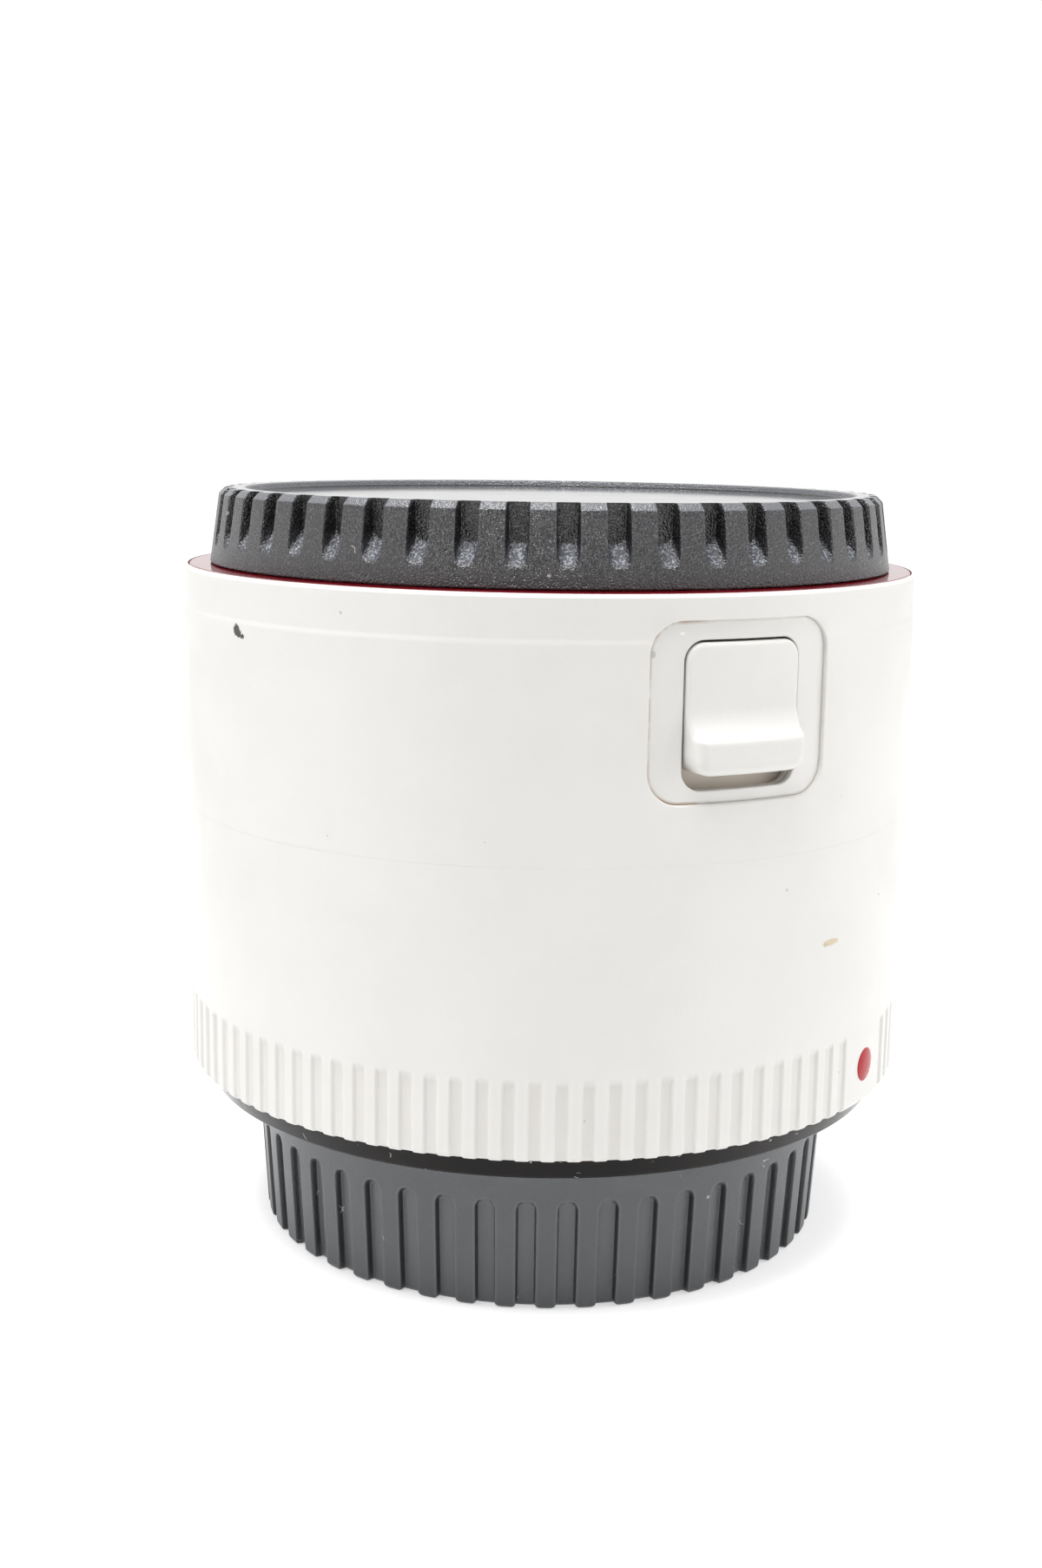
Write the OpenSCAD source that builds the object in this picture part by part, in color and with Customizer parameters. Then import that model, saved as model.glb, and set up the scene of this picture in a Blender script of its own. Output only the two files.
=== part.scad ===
// Camera teleconverter standing on its rear cap, front cap fitted.
// The optical axis is Z, and the origin is the centre of the rear cap's flat base.
// Azimuth 0 faces -Y and grows towards +X. Lengths are in millimetres.

/* [Barrel] */
// Outside diameter of the white barrel
barrel_d = 71.8; // [68:0.1:78]
// Wall thickness of the barrel shells
barrel_wall = 2; // [1.8:0.1:2.4]
// Length of the rear shell, from its ribbed edge to the seam
rear_barrel_len = 25.95; // [24:0.05:30]
// Length of the front shell, from the seam to the front face
front_barrel_len = 22.95; // [22:0.05:27]
// Gap at the seam between the two shells
seam_gap = 0.1; // [0.05:0.05:0.3]
// Height of the turned-down band at the front edge
front_band_h = 4.06; // [2:0.02:6]
// Radial step down to the front band
front_band_step = 0.1; // [0.05:0.05:0.3]
// Chamfer on the front edge of the barrel
front_chamfer = 0.35; // [0.1:0.05:0.5]
// Chamfer on the ribbed rear edge of the barrel
rear_chamfer = 0.3; // [0.1:0.05:0.6]

/* [Ribbed band] */
// Grooves in a full turn
rib_count = 98; // [72:2:120]
// Length of the grooves, from the rear edge
rib_len = 7.47; // [5:0.01:10]
// Depth of the grooves
rib_depth = 0.25; // [0.15:0.05:0.7]
// Length over which each groove runs out at its front end
rib_runout = 0.9; // [0.3:0.1:2]
// Width of one groove
rib_groove_w = 1.15; // [0.8:0.05:1.5]
// Azimuth of one groove's middle
rib_azimuth = -0.65; // [-2:0.05:2]
// Width, in degrees, of the smooth pad round the index dot
pad_angle = 10.5; // [6:0.5:20]

/* [Index dot] */
// Azimuth of the red index dot
dot_azimuth = 58.2; // [40:0.1:80]
// Diameter of the dot
dot_d = 3.2; // [2:0.1:4]
// Height of the dot's middle above the barrel's rear edge
dot_rise = 3.7; // [2.5:0.01:5]
// Depth of the dot's pocket
dot_depth = 0.8; // [0.4:0.1:1.2]
// How far the dot's crown stands proud of the barrel
dot_crown = 0.2; // [0.1:0.05:0.4]

/* [Bayonet mounts] */
// Throat diameter of the bayonet
throat_d = 54; // [52:0.1:55]
// Inward reach of the front lugs, and outward reach of the rear lugs
lug_reach = 1.3; // [0.8:0.1:1.6]
// Angle covered by one lug of the mounts
lug_angle = 56; // [40:1:58]
// Angle covered by one lug of the caps
cap_lug_angle = 48; // [30:1:50]
// Thickness of the front mount's flange
front_flange_t = 1.7; // [1.4:0.1:2.2]
// Thickness of the rear mount's flange
rear_flange_t = 2.2; // [1.8:0.1:3]
// Length of the rear bayonet tube behind its flange
rear_tube_len = 6.4; // [5.5:0.1:7]
// Wall thickness of the rear bayonet tube
rear_tube_wall = 1.8; // [1.4:0.1:2.2]
// Thickness of the bayonet lugs
lug_t = 1.5; // [1:0.1:1.6]
// Depth of the rear lugs behind the rear flange
lug_depth = 1.6; // [1.5:0.1:2]
// Thickness of the leaf spring ring
leaf_t = 0.3; // [0.2:0.05:0.4]
// Width of the red ring
red_ring_w = 2.8; // [2.2:0.1:3]
// Thickness of the red ring
red_ring_t = 1; // [0.6:0.1:1.2]
// Width of the black seal ring at its narrow rear edge
seal_ring_w = 1.8; // [1.2:0.1:2.4]
// How much the seal ring widens towards the barrel
seal_ring_flare = 1.3; // [0.6:0.1:1.6]

/* [Front cap] */
// Height of the front cap above the front mount
front_cap_h = 7.1; // [6.5:0.1:10]
// How far the cap's foot covers past the front mount
front_cap_lap = 1; // [0.5:0.1:1.4]
// How much the cap's wall draws in from foot to top
front_cap_taper = 0.95; // [0.4:0.05:1.4]
// Number of notches round the front cap
notch_count = 48; // [36:2:56]
// Width of one notch
notch_w = 1.9; // [1.4:0.1:2.2]
// Depth of the notches at the rim
notch_depth = 1.3; // [0.8:0.1:1.6]
// Height of the notches' lowest point above the foot
notch_rise = 1.45; // [1.2:0.05:3.5]
// Rounding of the lower corners of each notch
notch_round = 0.7; // [0.3:0.05:0.7]
// Slope of the scoop at the foot of each notch
notch_slope = 45; // [35:1:55]
// Azimuth of one notch's middle
notch_azimuth = 2.8; // [-3:0.1:3]
// Width of the cap's raised rim behind the notches
front_rim_w = 1.4; // [1.2:0.1:2]
// Depth of the recess in the top of the cap
top_recess = 0.6; // [0.4:0.1:2]
// Thickness of the cap's top plate
top_plate_t = 1.4; // [1:0.1:1.8]
// Rounding of the rim's outer edge
front_rim_round = 0.6; // [0.3:0.05:0.8]

/* [Rear cap] */
// Height of the rear cap
rear_cap_h = 14.9; // [14:0.1:18]
// Wall thickness at the rim of the rear cap
rear_cap_wall = 2; // [1.5:0.05:2.4]
// How much the rear cap's wall draws in from rim to base
rear_cap_taper = 0.9; // [0.3:0.05:1.2]
// Thickness of the rear cap's base
rear_cap_base = 1.6; // [1.2:0.1:2.2]
// Number of grooves round the rear cap
groove_count = 48; // [36:2:56]
// Width of one groove
groove_w = 1.75; // [1.2:0.05:2.1]
// Depth of the grooves
groove_depth = 0.7; // [0.25:0.05:0.75]
// Height of the grooves' round tops
groove_top = 10.7; // [8:0.1:11.5]
// Azimuth of one groove's middle
groove_azimuth = -2.2; // [-3:0.1:3]
// Rounding of the base edge
base_round = 0.35; // [0.2:0.05:0.8]

/* [Release lever] */
// Azimuth of the lever's middle
lever_azimuth = 27.85; // [10:0.05:60]
// Width of the inlaid window plate
plate_w = 17.8; // [16.5:0.1:20]
// Height of the inlaid window plate
plate_h = 15.35; // [15:0.05:16]
// Drop from the front face to the plate's upper edge
plate_drop = 2.35; // [2.1:0.05:3]
// Corner radius of the plate
plate_corner = 2.8; // [2:0.1:3.5]
// Thickness of the plate
plate_t = 0.75; // [0.6:0.05:1.1]
// How far the plate's face lies below the barrel
plate_sink = 0.4; // [0.05:0.05:0.5]
// Width of the lever's window
window_w = 11.7; // [10:0.1:12.5]
// Height of the plate's bar above the window
window_drop = 1.55; // [1.4:0.05:1.6]
// Height of the plate's bar below the window
window_sill = 1; // [0.4:0.05:1.4]
// Corner radius of the window
window_corner = 1.8; // [1.2:0.1:2.2]
// Travel of the lever towards the rear
lever_travel = 1.3; // [1:0.05:1.5]
// Clearance between the lever and its window
lever_gap = 0.2; // [0.15:0.05:0.3]
// How far the thumb ledge stands proud of the barrel
ledge_out = 1.8; // [1:0.1:2.4]
// Height of the thumb ledge's front face
ledge_h = 3.45; // [3:0.05:4.2]
// Radius of the hollow slope above the ledge
hollow_r = 2.4; // [1.8:0.1:3.2]
// Rounding of the ledge's edges
ledge_round = 0.6; // [0.3:0.05:0.8]
// Diameter of the lock pin
lock_pin_d = 2.6; // [2.2:0.1:2.8]
// How far the lock pin stands proud of the front mount
lock_pin_out = 1.2; // [0.9:0.05:1.3]

/* [Optics] */
// Diameter of the two front glass elements
front_glass_d = 34; // [30:0.1:36]
// Diameter of the two middle glass elements
middle_glass_d = 29; // [26:0.1:31]
// Diameter of the three rear glass elements
rear_glass_d = 33; // [30:0.1:34]
// Width of the flat seating rim on each element
glass_rim = 1.6; // [1.2:0.1:2]
// Wall thickness of the lens tube
tube_wall = 2.6; // [2.2:0.1:3]
// Reach of the lens tube's nose past the front mount
nose_out = 3.4; // [2.5:0.1:3.6]
// Width of the rectangular opening in the rear baffle
baffle_w = 30; // [24:0.5:34]
// Height of the rectangular opening in the rear baffle
baffle_h = 21; // [16:0.5:23]

/* [Contacts] */
// Azimuth of the contact blocks
contact_azimuth = 190; // [150:1:210]
// Contacts in each block
contact_count = 8; // [5:1:9]
// Angle between neighbouring contacts
contact_pitch = 5.4; // [4.5:0.1:6]
// Diameter of the contact pins
contact_d = 0.9; // [0.7:0.05:1]
// How far the front pins stand proud of their block
contact_out = 1.1; // [0.9:0.05:1.4]
// Travel of the front pins
contact_travel = 0.8; // [0.4:0.05:0.85]

/* [Hidden] */
$fn = 120;
fit = 0.1;
run = 0.06;
touch = 0.02;
cap_seat = 0.1;
cap_play = 0.35;
over = 1;

// Radii that the barrel sets
barrel_r = barrel_d / 2;
barrel_in = barrel_r - barrel_wall;
band_r = barrel_r - front_band_step;
lip_reach = 1.2;
mount_ring_r = barrel_in - lip_reach - 0.3;
chassis_r = barrel_in - fit;
release_space = 3.5;
chassis_tube_r = barrel_in - release_space;
chassis_wall = 1.8;
chassis_in = chassis_tube_r - chassis_wall;
red_ring_r = barrel_r - front_band_step - front_chamfer;

// Radii that the throat sets
throat_r = throat_d / 2;
front_lug_r = throat_r - lug_reach;
rear_lug_r = throat_r - 0.15;
rear_tube_r = rear_lug_r - lug_reach - 0.15;
rear_tube_in = rear_tube_r - rear_tube_wall;
skirt_r = front_lug_r - 0.5;
skirt_wall = 1.6;
front_cap_lug_r = throat_r - cap_play;
screw_circle = (throat_r + mount_ring_r) / 2;
rear_flange_r = barrel_r - rear_chamfer - seal_ring_w - seal_ring_flare - 0.5;
rear_screw_circle = (rear_tube_r + rear_flange_r) / 2;

// Levels along the optical axis
rear_face = rear_cap_h + cap_seat;
body_z = rear_face + rear_flange_t;
seam_z = body_z + rear_barrel_len;
front_shell_z = seam_z + seam_gap;
front_face = front_shell_z + front_barrel_len;
chassis_top = front_face - front_flange_t - leaf_t;
red_ring_z = front_face - red_ring_t;
chassis_flange_t = 3.6;
chassis_base_t = 2.4;
spigot_h = 2.4;
spigot_wall = barrel_wall / 2 - fit / 2;

// Front cap
front_cap_r = mount_ring_r + front_cap_lap;
front_cap_top_r = front_cap_r - front_cap_taper;
front_foot = front_face + cap_seat;
front_top = front_foot + front_cap_h;
notch_back_r = front_cap_top_r - notch_depth;
recess_r = notch_back_r - front_rim_w;
recess_z = front_top - top_recess;
plate_under = recess_z - top_plate_t;
pin_room = 0.2;
foot_in = screw_circle + lock_pin_d / 2 + pin_room;
foot_cavity_h = 1.8;
skirt_drop = 4;
notch_pitch = 360 / notch_count;

// Rear cap
rear_cap_in = rear_lug_r + cap_play + 0.15;
rear_cap_r = rear_cap_in + rear_cap_wall;
rear_cap_base_r = rear_cap_r - rear_cap_taper;
rear_cap_lug_t = 1.2;
rear_cap_lug_r = rear_tube_r + cap_play;
rear_ledge_z = rear_face - rear_tube_len - 1.6;
rear_ledge_in = rear_cap_in - 1.2;
groove_pitch = 360 / groove_count;
groove_tilt = atan(rear_cap_taper / rear_cap_h);

// Release mechanism, in the lever's own azimuth
plate_top = front_face - plate_drop;
plate_z = plate_top - plate_h / 2;
plate_r = barrel_r - plate_sink;
plate_back_r = plate_r - plate_t;
window_top = plate_top - window_drop;
window_h = plate_h - window_drop - window_sill;
window_z = window_top - window_h / 2;
lever_w = window_w - 2 * lever_gap;
lever_top = window_top - lever_gap;
lever_low = window_top - window_h + lever_travel + lever_gap;
lever_h = lever_top - lever_low;
lever_corner = window_corner - lever_gap;
lever_edge = 0.3;
lever_trim = 0.05;
carriage_out = barrel_in - 1.2;
carriage_t = 2;
carriage_w = window_w + 2.4;
carriage_top = chassis_top - chassis_flange_t - 0.5;
carriage_low = window_top - window_h - 1.2;
skirt_w = window_w + 1;
skirt_gap = 0.3;
skirt_low = carriage_low + 0.2;
arm_w = lock_pin_d + 1.8;
arm_h = 2.4;
lock_pin_r = lock_pin_d / 2;
lock_pin_top = front_face + lock_pin_out;
arm_low = carriage_top - arm_h;
spring_r = 1.1;
spring_wire = 0.4;
spring_circle = carriage_out - carriage_t / 2;
spring_len = 5.6;
spring_low = carriage_low - spring_len;
lever_screw_r = 0.7;
lever_screw_x = window_w / 2 - 2.2;
lever_screw_z = lever_low + lever_h * 0.45;
lever_screw_bite = 1.6;

// Lens tube and its glass
front_glass_r = front_glass_d / 2;
middle_glass_r = middle_glass_d / 2;
rear_glass_r = rear_glass_d / 2;
bore_front = front_glass_r + fit;
bore_middle = middle_glass_r + fit;
bore_rear = rear_glass_r + fit;
tube_r = max(bore_middle, bore_rear) + tube_wall;
nose_r = max(bore_front + tube_wall, tube_r + 0.6);
nose_top = front_face + nose_out;
nose_drop = 9.2;
nose_low = front_face - nose_drop;
tube_rise = 2.8;
tube_low = body_z + tube_rise;
tube_flange_rise = 19.3;
tube_flange_z = body_z + tube_flange_rise;
tube_flange_t = 2;
tube_flange_r = chassis_in - fit;
ledge_ring_w = 2.4;
ledge_ring_t = 2;
tube_screw_inset = 1.3;
tube_screw_circle = chassis_in - tube_screw_inset;
rear_shoulder_drop = 0.5;
rear_shoulder = tube_flange_z - rear_shoulder_drop;
middle_rise = 10;
middle_shoulder = tube_flange_z + middle_rise;
front_shoulder_drop = 7.6;
front_shoulder = front_face - front_shoulder_drop;
cement = 0.1;

// Edge thickness of the elements, front to rear
l1_t = 2.6;
l2_t = 3.4;
l3_t = 2.2;
l4_t = 3.6;
l5_t = 2.4;
l6_t = 3.2;
l7_t = 2.6;

// Crown heights of each element's front and rear faces, with hollow faces below zero
l1_front = 1.6;
l1_rear = 0.9;
l2_front = -0.9;
l2_rear = -0.8;
l3_front = 1.5;
l3_rear = 1.4;
l4_front = -1.4;
l4_rear = -1.2;
l5_front = 0.9;
l5_rear = 0.8;
l6_front = -1;
l6_rear = -0.9;
l7_front = 0.9;
l7_rear = 1;

// Rings between the elements, and the levels that they set
front_spacer_t = 1.4;
rear_spacer_t = 3;
retainer_t = 1.5;
l2_z = front_shoulder;
front_spacer_z = l2_z + l2_t;
l1_z = front_spacer_z + front_spacer_t;
front_retainer_z = l1_z + l1_t;
l4_z = middle_shoulder;
l3_z = l4_z + l4_t + cement;
middle_retainer_z = l3_z + l3_t;
l5_z = rear_shoulder - l5_t;
rear_spacer_z = l5_z - rear_spacer_t;
l6_z = rear_spacer_z - l6_t;
l7_z = l6_z - cement - l7_t;
rear_retainer_z = l7_z - retainer_t;

// Contacts and electronics
strip_in = tube_r + 0.5;
strip_t = 0.2;
strip_angle = 13;
block_in = max(strip_in + strip_t, nose_r) + fit;
block_angle = contact_pitch * contact_count + 6;
front_block_drop = 7.4;
front_block_h = 6.8;
front_block_foot = 3;
front_block_top = front_face - front_block_drop;
front_block_low = front_block_top - front_block_h;
front_block_step = front_block_low + front_block_foot;
front_block_r = front_lug_r + 0.6;
contact_circle = (block_in + front_lug_r) / 2 + 0.6;
contact_r = contact_d / 2;
contact_len = contact_out + 2.3;
pin_low = front_block_top + contact_out - contact_len;
rear_block_r = rear_tube_in - fit;
rear_block_in = block_in;
rear_block_low = rear_face - rear_tube_len;
baffle_t = 1.2;
baffle_z = body_z - baffle_t;
rear_contact_circle = (rear_block_in + rear_block_r) / 2;
rear_contact_r = 0.75;
rear_contact_out = 0.25;
rear_contact_t = 0.8;
board_t = 0.8;
board_z = tube_flange_z + tube_flange_t;
board_in = strip_in + strip_t + 0.2;
board_r = tube_screw_circle - 1.7;
board_angle = 270;
chip_t = 1;

// Screws
screw_r = 0.9;
screw_head_r = 1.6;
screw_head_t = 0.9;
mount_screw_len = 4.6;
tube_screw_len = 4;
tube_head_t = 0.8;
mount_screw_azimuths = [for (i = [0:3]) lever_azimuth + 45 + 90 * i];
tube_screw_azimuths = [for (i = [0:2]) contact_azimuth + 60 + 120 * i];
lug_azimuths = [for (i = [0:2]) contact_azimuth + 120 * i];
gap_azimuths = [for (i = [0:2]) contact_azimuth + 60 + 120 * i];

white_paint = [0.9, 0.89, 0.86];
black_plastic = [0.12, 0.12, 0.13];
gloss_black = [0.04, 0.04, 0.04];
red_gloss = [0.6, 0.03, 0.05];
chrome = [0.78, 0.78, 0.8];
alloy = [0.55, 0.55, 0.57];
dark_alloy = [0.1, 0.1, 0.11];
spring_steel = [0.62, 0.62, 0.64];
gold = [0.83, 0.66, 0.28];
glass = [0.6, 0.75, 0.75, 0.5];
board_green = [0.06, 0.28, 0.16];

// Shared forms

// Puts a child at an azimuth, a radius and a level, with -Y pointing outwards
module at(azimuth, radius = 0, level = 0) {
    rotate([0, 0, azimuth])
        translate([0, -radius, level])
            children();
}

// Round ring between two radii and two levels
module ring(r_in, r_out, z_low, z_high) {
    rotate_extrude()
        translate([r_in, z_low])
            square([r_out - r_in, z_high - z_low]);
}

// Part of a ring, centred on an azimuth
module sector(r_in, r_out, z_low, z_high, azimuth, angle) {
    rotate([0, 0, azimuth - angle / 2 - 90])
        rotate_extrude(angle = angle)
            translate([r_in, z_low])
                square([r_out - r_in, z_high - z_low]);
}

// Rectangle with round corners, centred
module rounded_rect(w, h, r) {
    square([w - 2 * r, h], center = true);
    square([w, h - 2 * r], center = true);
    for (sx = [-1, 1], sy = [-1, 1])
        translate([sx * (w / 2 - r), sy * (h / 2 - r)])
            circle(r);
}

// Rounded block that runs outwards from one radius to another at an azimuth
module radial_block(azimuth, r_from, r_to, level, w, h, corner) {
    at(azimuth, r_from, level)
        rotate([90, 0, 0])
            linear_extrude(r_to - r_from)
                rounded_rect(w, h, corner);
}

// Countersunk screw whose head lies at level 0 and whose shank points up
module countersunk_screw(len) {
    difference() {
        rotate_extrude()
            polygon([[0, 0], [screw_head_r, 0], [screw_r, screw_head_t], [screw_r, len], [0, len]]);
        for (turn = [0, 90])
            rotate([0, 0, turn])
                cube([1.9, 0.4, 0.9], center = true);
    }
}

// Clearance for such a screw
module screw_bore(len) {
    rotate_extrude()
        polygon([[0, -touch], [screw_head_r + fit, -touch], [screw_r + fit, screw_head_t],
            [screw_r + fit, len + fit], [0, len + fit]]);
}

// Half section of a lens: flat rim, crowned or hollowed over its clear aperture
module lens_section(r, t, front, rear) {
    aperture = r - glass_rim;
    difference() {
        union() {
            square([r, t]);
            if (front > 0) translate([0, t]) crown(aperture, front);
            if (rear > 0) mirror([0, 1]) crown(aperture, rear);
        }
        if (front < 0) translate([0, t]) mirror([0, 1]) crown(aperture, -front);
        if (rear < 0) crown(aperture, -rear);
    }
}

// Half of a shallow circular segment, of a half width and a height
module crown(half, height) {
    radius = (half * half + height * height) / (2 * height);
    intersection() {
        translate([0, height - radius])
            circle(radius, $fn = 360);
        square([half, height]);
    }
}

// Glass element with its lower rim at a level
module element(r, t, front, rear, level) {
    color(glass)
        translate([0, 0, level])
            rotate_extrude()
                lens_section(r, t, front, rear);
}

// Rear side

module rear_cap() {
    color(black_plastic)
    difference() {
        union() {
            rotate_extrude()
                polygon([[0, 0], [rear_cap_base_r - base_round, 0], [rear_cap_base_r, base_round],
                    [rear_cap_r, rear_cap_h], [rear_cap_in, rear_cap_h], [rear_cap_in, rear_ledge_z],
                    [rear_ledge_in, rear_ledge_z], [rear_ledge_in, rear_cap_base], [0, rear_cap_base]]);
            for (azimuth = gap_azimuths)
                sector(rear_cap_lug_r, rear_cap_in + fit, rear_cap_h - rear_cap_lug_t, rear_cap_h,
                    azimuth, cap_lug_angle);
        }
        for (i = [0 : groove_count - 1])
            at(groove_azimuth + i * groove_pitch, rear_cap_base_r - groove_depth)
                rotate([groove_tilt, 0, 0])
                    rotate([90, 0, 0])
                        linear_extrude(groove_depth + over)
                            groove_outline();
    }
}

// Groove with a round top, open at the base
module groove_outline() {
    straight = groove_top - groove_w / 2;
    translate([-groove_w / 2, -over])
        square([groove_w, straight + over]);
    translate([0, straight])
        circle(groove_w / 2);
}

module rear_seal_ring() {
    color(gloss_black)
    rotate_extrude()
        polygon([[rear_flange_r + fit, rear_face], [rear_flange_r + seal_ring_w, rear_face],
            [rear_flange_r + seal_ring_w + 0.25, rear_face + 0.2],
            [rear_flange_r + seal_ring_w + seal_ring_flare, body_z],
            [rear_flange_r + fit, body_z]]);
}

module rear_mount() {
    color(chrome)
    difference() {
        union() {
            ring(rear_tube_in, rear_flange_r, rear_face, body_z);
            ring(rear_tube_in, rear_tube_r, rear_face - rear_tube_len, rear_face + touch);
            for (azimuth = lug_azimuths)
                sector(rear_tube_r - touch, rear_lug_r, rear_face - lug_depth - lug_t,
                    rear_face - lug_depth, azimuth, lug_angle);
        }
        for (azimuth = mount_screw_azimuths)
            at(azimuth, rear_screw_circle, rear_face)
                screw_bore(mount_screw_len);
        at(lever_azimuth, rear_screw_circle, rear_face - over)
            cylinder(r = lock_pin_r + run, h = rear_flange_t / 2 + over);
    }
}

module rear_mount_screws() {
    color(spring_steel)
    for (azimuth = mount_screw_azimuths)
        at(azimuth, rear_screw_circle, rear_face + touch)
            countersunk_screw(mount_screw_len);
}

module rear_contact_block() {
    color(black_plastic)
    difference() {
        sector(rear_block_in, rear_block_r, rear_block_low, baffle_z - touch, contact_azimuth, block_angle);
        contact_row(rear_contact_circle, rear_block_low - over)
            cylinder(r = rear_contact_r + fit, h = rear_contact_t + over);
    }
}

module rear_contacts() {
    color(gold)
    contact_row(rear_contact_circle, rear_block_low - rear_contact_out)
        cylinder(r = rear_contact_r, h = rear_contact_t + rear_contact_out);
}

// One child at each contact of a block
module contact_row(radius, level) {
    for (i = [0 : contact_count - 1])
        at(contact_azimuth + (i - (contact_count - 1) / 2) * contact_pitch, radius, level)
            children();
}

module rear_baffle() {
    color(dark_alloy)
    difference() {
        ring(0, rear_tube_in - fit, baffle_z, body_z);
        translate([0, 0, baffle_z - over])
            linear_extrude(baffle_t + 2 * over)
                rounded_rect(baffle_w, baffle_h, 1.5);
        sector(strip_in - 0.2, strip_in + strip_t + 0.2, baffle_z - over, body_z + over,
            contact_azimuth, strip_angle + 2);
    }
}

// Barrel

module rear_barrel() {
    rib_pitch = 360 / rib_count;
    pocket_r = dot_d / 2 + fit / 2;
    color(white_paint)
    difference() {
        rotate_extrude()
            polygon([[barrel_in, body_z], [barrel_r - rear_chamfer, body_z],
                [barrel_r, body_z + rear_chamfer], [barrel_r, seam_z], [barrel_in + spigot_wall, seam_z],
                [barrel_in + spigot_wall, seam_z + spigot_h], [barrel_in, seam_z + spigot_h]]);
        for (i = [0 : rib_count - 1])
            if (abs(turn_between(rib_azimuth + i * rib_pitch, dot_azimuth)) > pad_angle / 2)
                at(rib_azimuth + i * rib_pitch, barrel_r, body_z)
                    rib_cutter();
        at(dot_azimuth, barrel_r - dot_depth, body_z + dot_rise)
            rotate([90, 0, 0])
                cylinder(r = pocket_r, h = dot_depth + over);
    }
}

// Straight groove, open at the rear edge, whose floor climbs to the surface at its front end
module rib_cutter() {
    beyond = over * rib_runout / rib_depth;
    translate([rib_groove_w / 2, 0, 0])
        rotate([90, 0, -90])
            linear_extrude(rib_groove_w)
                polygon([[-rib_depth, -over], [over, -over], [over, rib_len + beyond],
                    [-rib_depth, rib_len - rib_runout]]);
}

// Signed angle from one azimuth to another, from -180 to 180
function turn_between(a, b) = (a - b + 540) % 360 - 180;

module index_dot() {
    dot_r = dot_d / 2;
    crown_h = dot_crown * 2;
    edge = dot_depth - touch + dot_crown - crown_h;
    color(red_gloss)
    at(dot_azimuth, barrel_r - dot_depth + touch, body_z + dot_rise)
        rotate([90, 0, 0])
            rotate_extrude() {
                square([dot_r, edge]);
                translate([0, edge])
                    crown(dot_r, crown_h);
            }
}

module front_barrel() {
    color(white_paint)
    difference() {
        rotate_extrude()
            polygon([[barrel_in + spigot_wall + fit, front_shell_z], [barrel_r, front_shell_z],
                [barrel_r, front_face - front_band_h - front_band_step],
                [band_r, front_face - front_band_h], [band_r, front_face - front_chamfer],
                [red_ring_r + fit, front_face], [red_ring_r + fit, red_ring_z],
                [barrel_in - lip_reach, red_ring_z], [barrel_in - lip_reach, chassis_top + touch],
                [barrel_in, chassis_top + touch], [barrel_in, seam_z + spigot_h + fit],
                [barrel_in + spigot_wall + fit, seam_z + spigot_h + fit]]);
        intersection() {
            ring(plate_back_r - fit, barrel_r + over, plate_z - plate_h, plate_z + plate_h);
            radial_block(lever_azimuth, plate_back_r - 2 * over, barrel_r + 2 * over, plate_z,
                plate_w + 2 * fit, plate_h + 2 * fit, plate_corner + fit);
        }
        radial_block(lever_azimuth, barrel_in - 3 * over, barrel_r + over, window_z, window_w + 2 * fit,
            window_h + 2 * fit, window_corner + fit);
    }
}

module window_plate() {
    color(white_paint)
    difference() {
        intersection() {
            ring(plate_back_r, plate_r, plate_z - plate_h, plate_z + plate_h);
            radial_block(lever_azimuth, plate_back_r - 2 * over, plate_r + over, plate_z, plate_w, plate_h,
                plate_corner);
        }
        radial_block(lever_azimuth, plate_back_r - 3 * over, plate_r + over, window_z, window_w, window_h,
            window_corner);
    }
}

module red_ring() {
    bevel = 0.15;
    color(red_gloss)
    rotate_extrude()
        polygon([[red_ring_r - red_ring_w, red_ring_z], [red_ring_r, red_ring_z],
            [red_ring_r, front_face - bevel], [red_ring_r - bevel, front_face],
            [red_ring_r - red_ring_w, front_face]]);
}

// Inner frame

module chassis() {
    color(alloy)
    difference() {
        union() {
            ring(throat_r + 0.4, chassis_r, chassis_top - chassis_flange_t, chassis_top);
            ring(chassis_in, chassis_tube_r, body_z, chassis_top);
            ring(board_in + 0.6, chassis_r, body_z, body_z + chassis_base_t);
            ring(chassis_in - ledge_ring_w, chassis_in + touch, tube_flange_z - ledge_ring_t, tube_flange_z);
            sector(chassis_tube_r - touch, spring_circle + spring_r + 0.3, spring_low - 1.5, spring_low,
                lever_azimuth, 10);
        }
        at(lever_azimuth, screw_circle, arm_low - over)
            cylinder(r = lock_pin_r + run, h = chassis_top - arm_low + 2 * over);
        at(lever_azimuth, chassis_tube_r + over, arm_low - lever_travel - 0.4)
            translate([-arm_w / 2 - 0.3, 0, 0])
                cube([arm_w + 0.6, chassis_wall + 2 * over, carriage_top - arm_low + lever_travel + 0.7]);
        for (azimuth = mount_screw_azimuths) {
            at(azimuth, screw_circle, chassis_top - mount_screw_len)
                cylinder(r = screw_r + fit, h = mount_screw_len + over);
            at(azimuth, rear_screw_circle, body_z - over)
                cylinder(r = screw_r + fit, h = mount_screw_len - rear_flange_t + over + 2 * fit);
        }
        for (azimuth = tube_screw_azimuths)
            at(azimuth, tube_screw_circle, tube_flange_z - tube_screw_len)
                cylinder(r = screw_r + fit, h = tube_screw_len + over);
    }
}

// Front mount and lens lock

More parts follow.
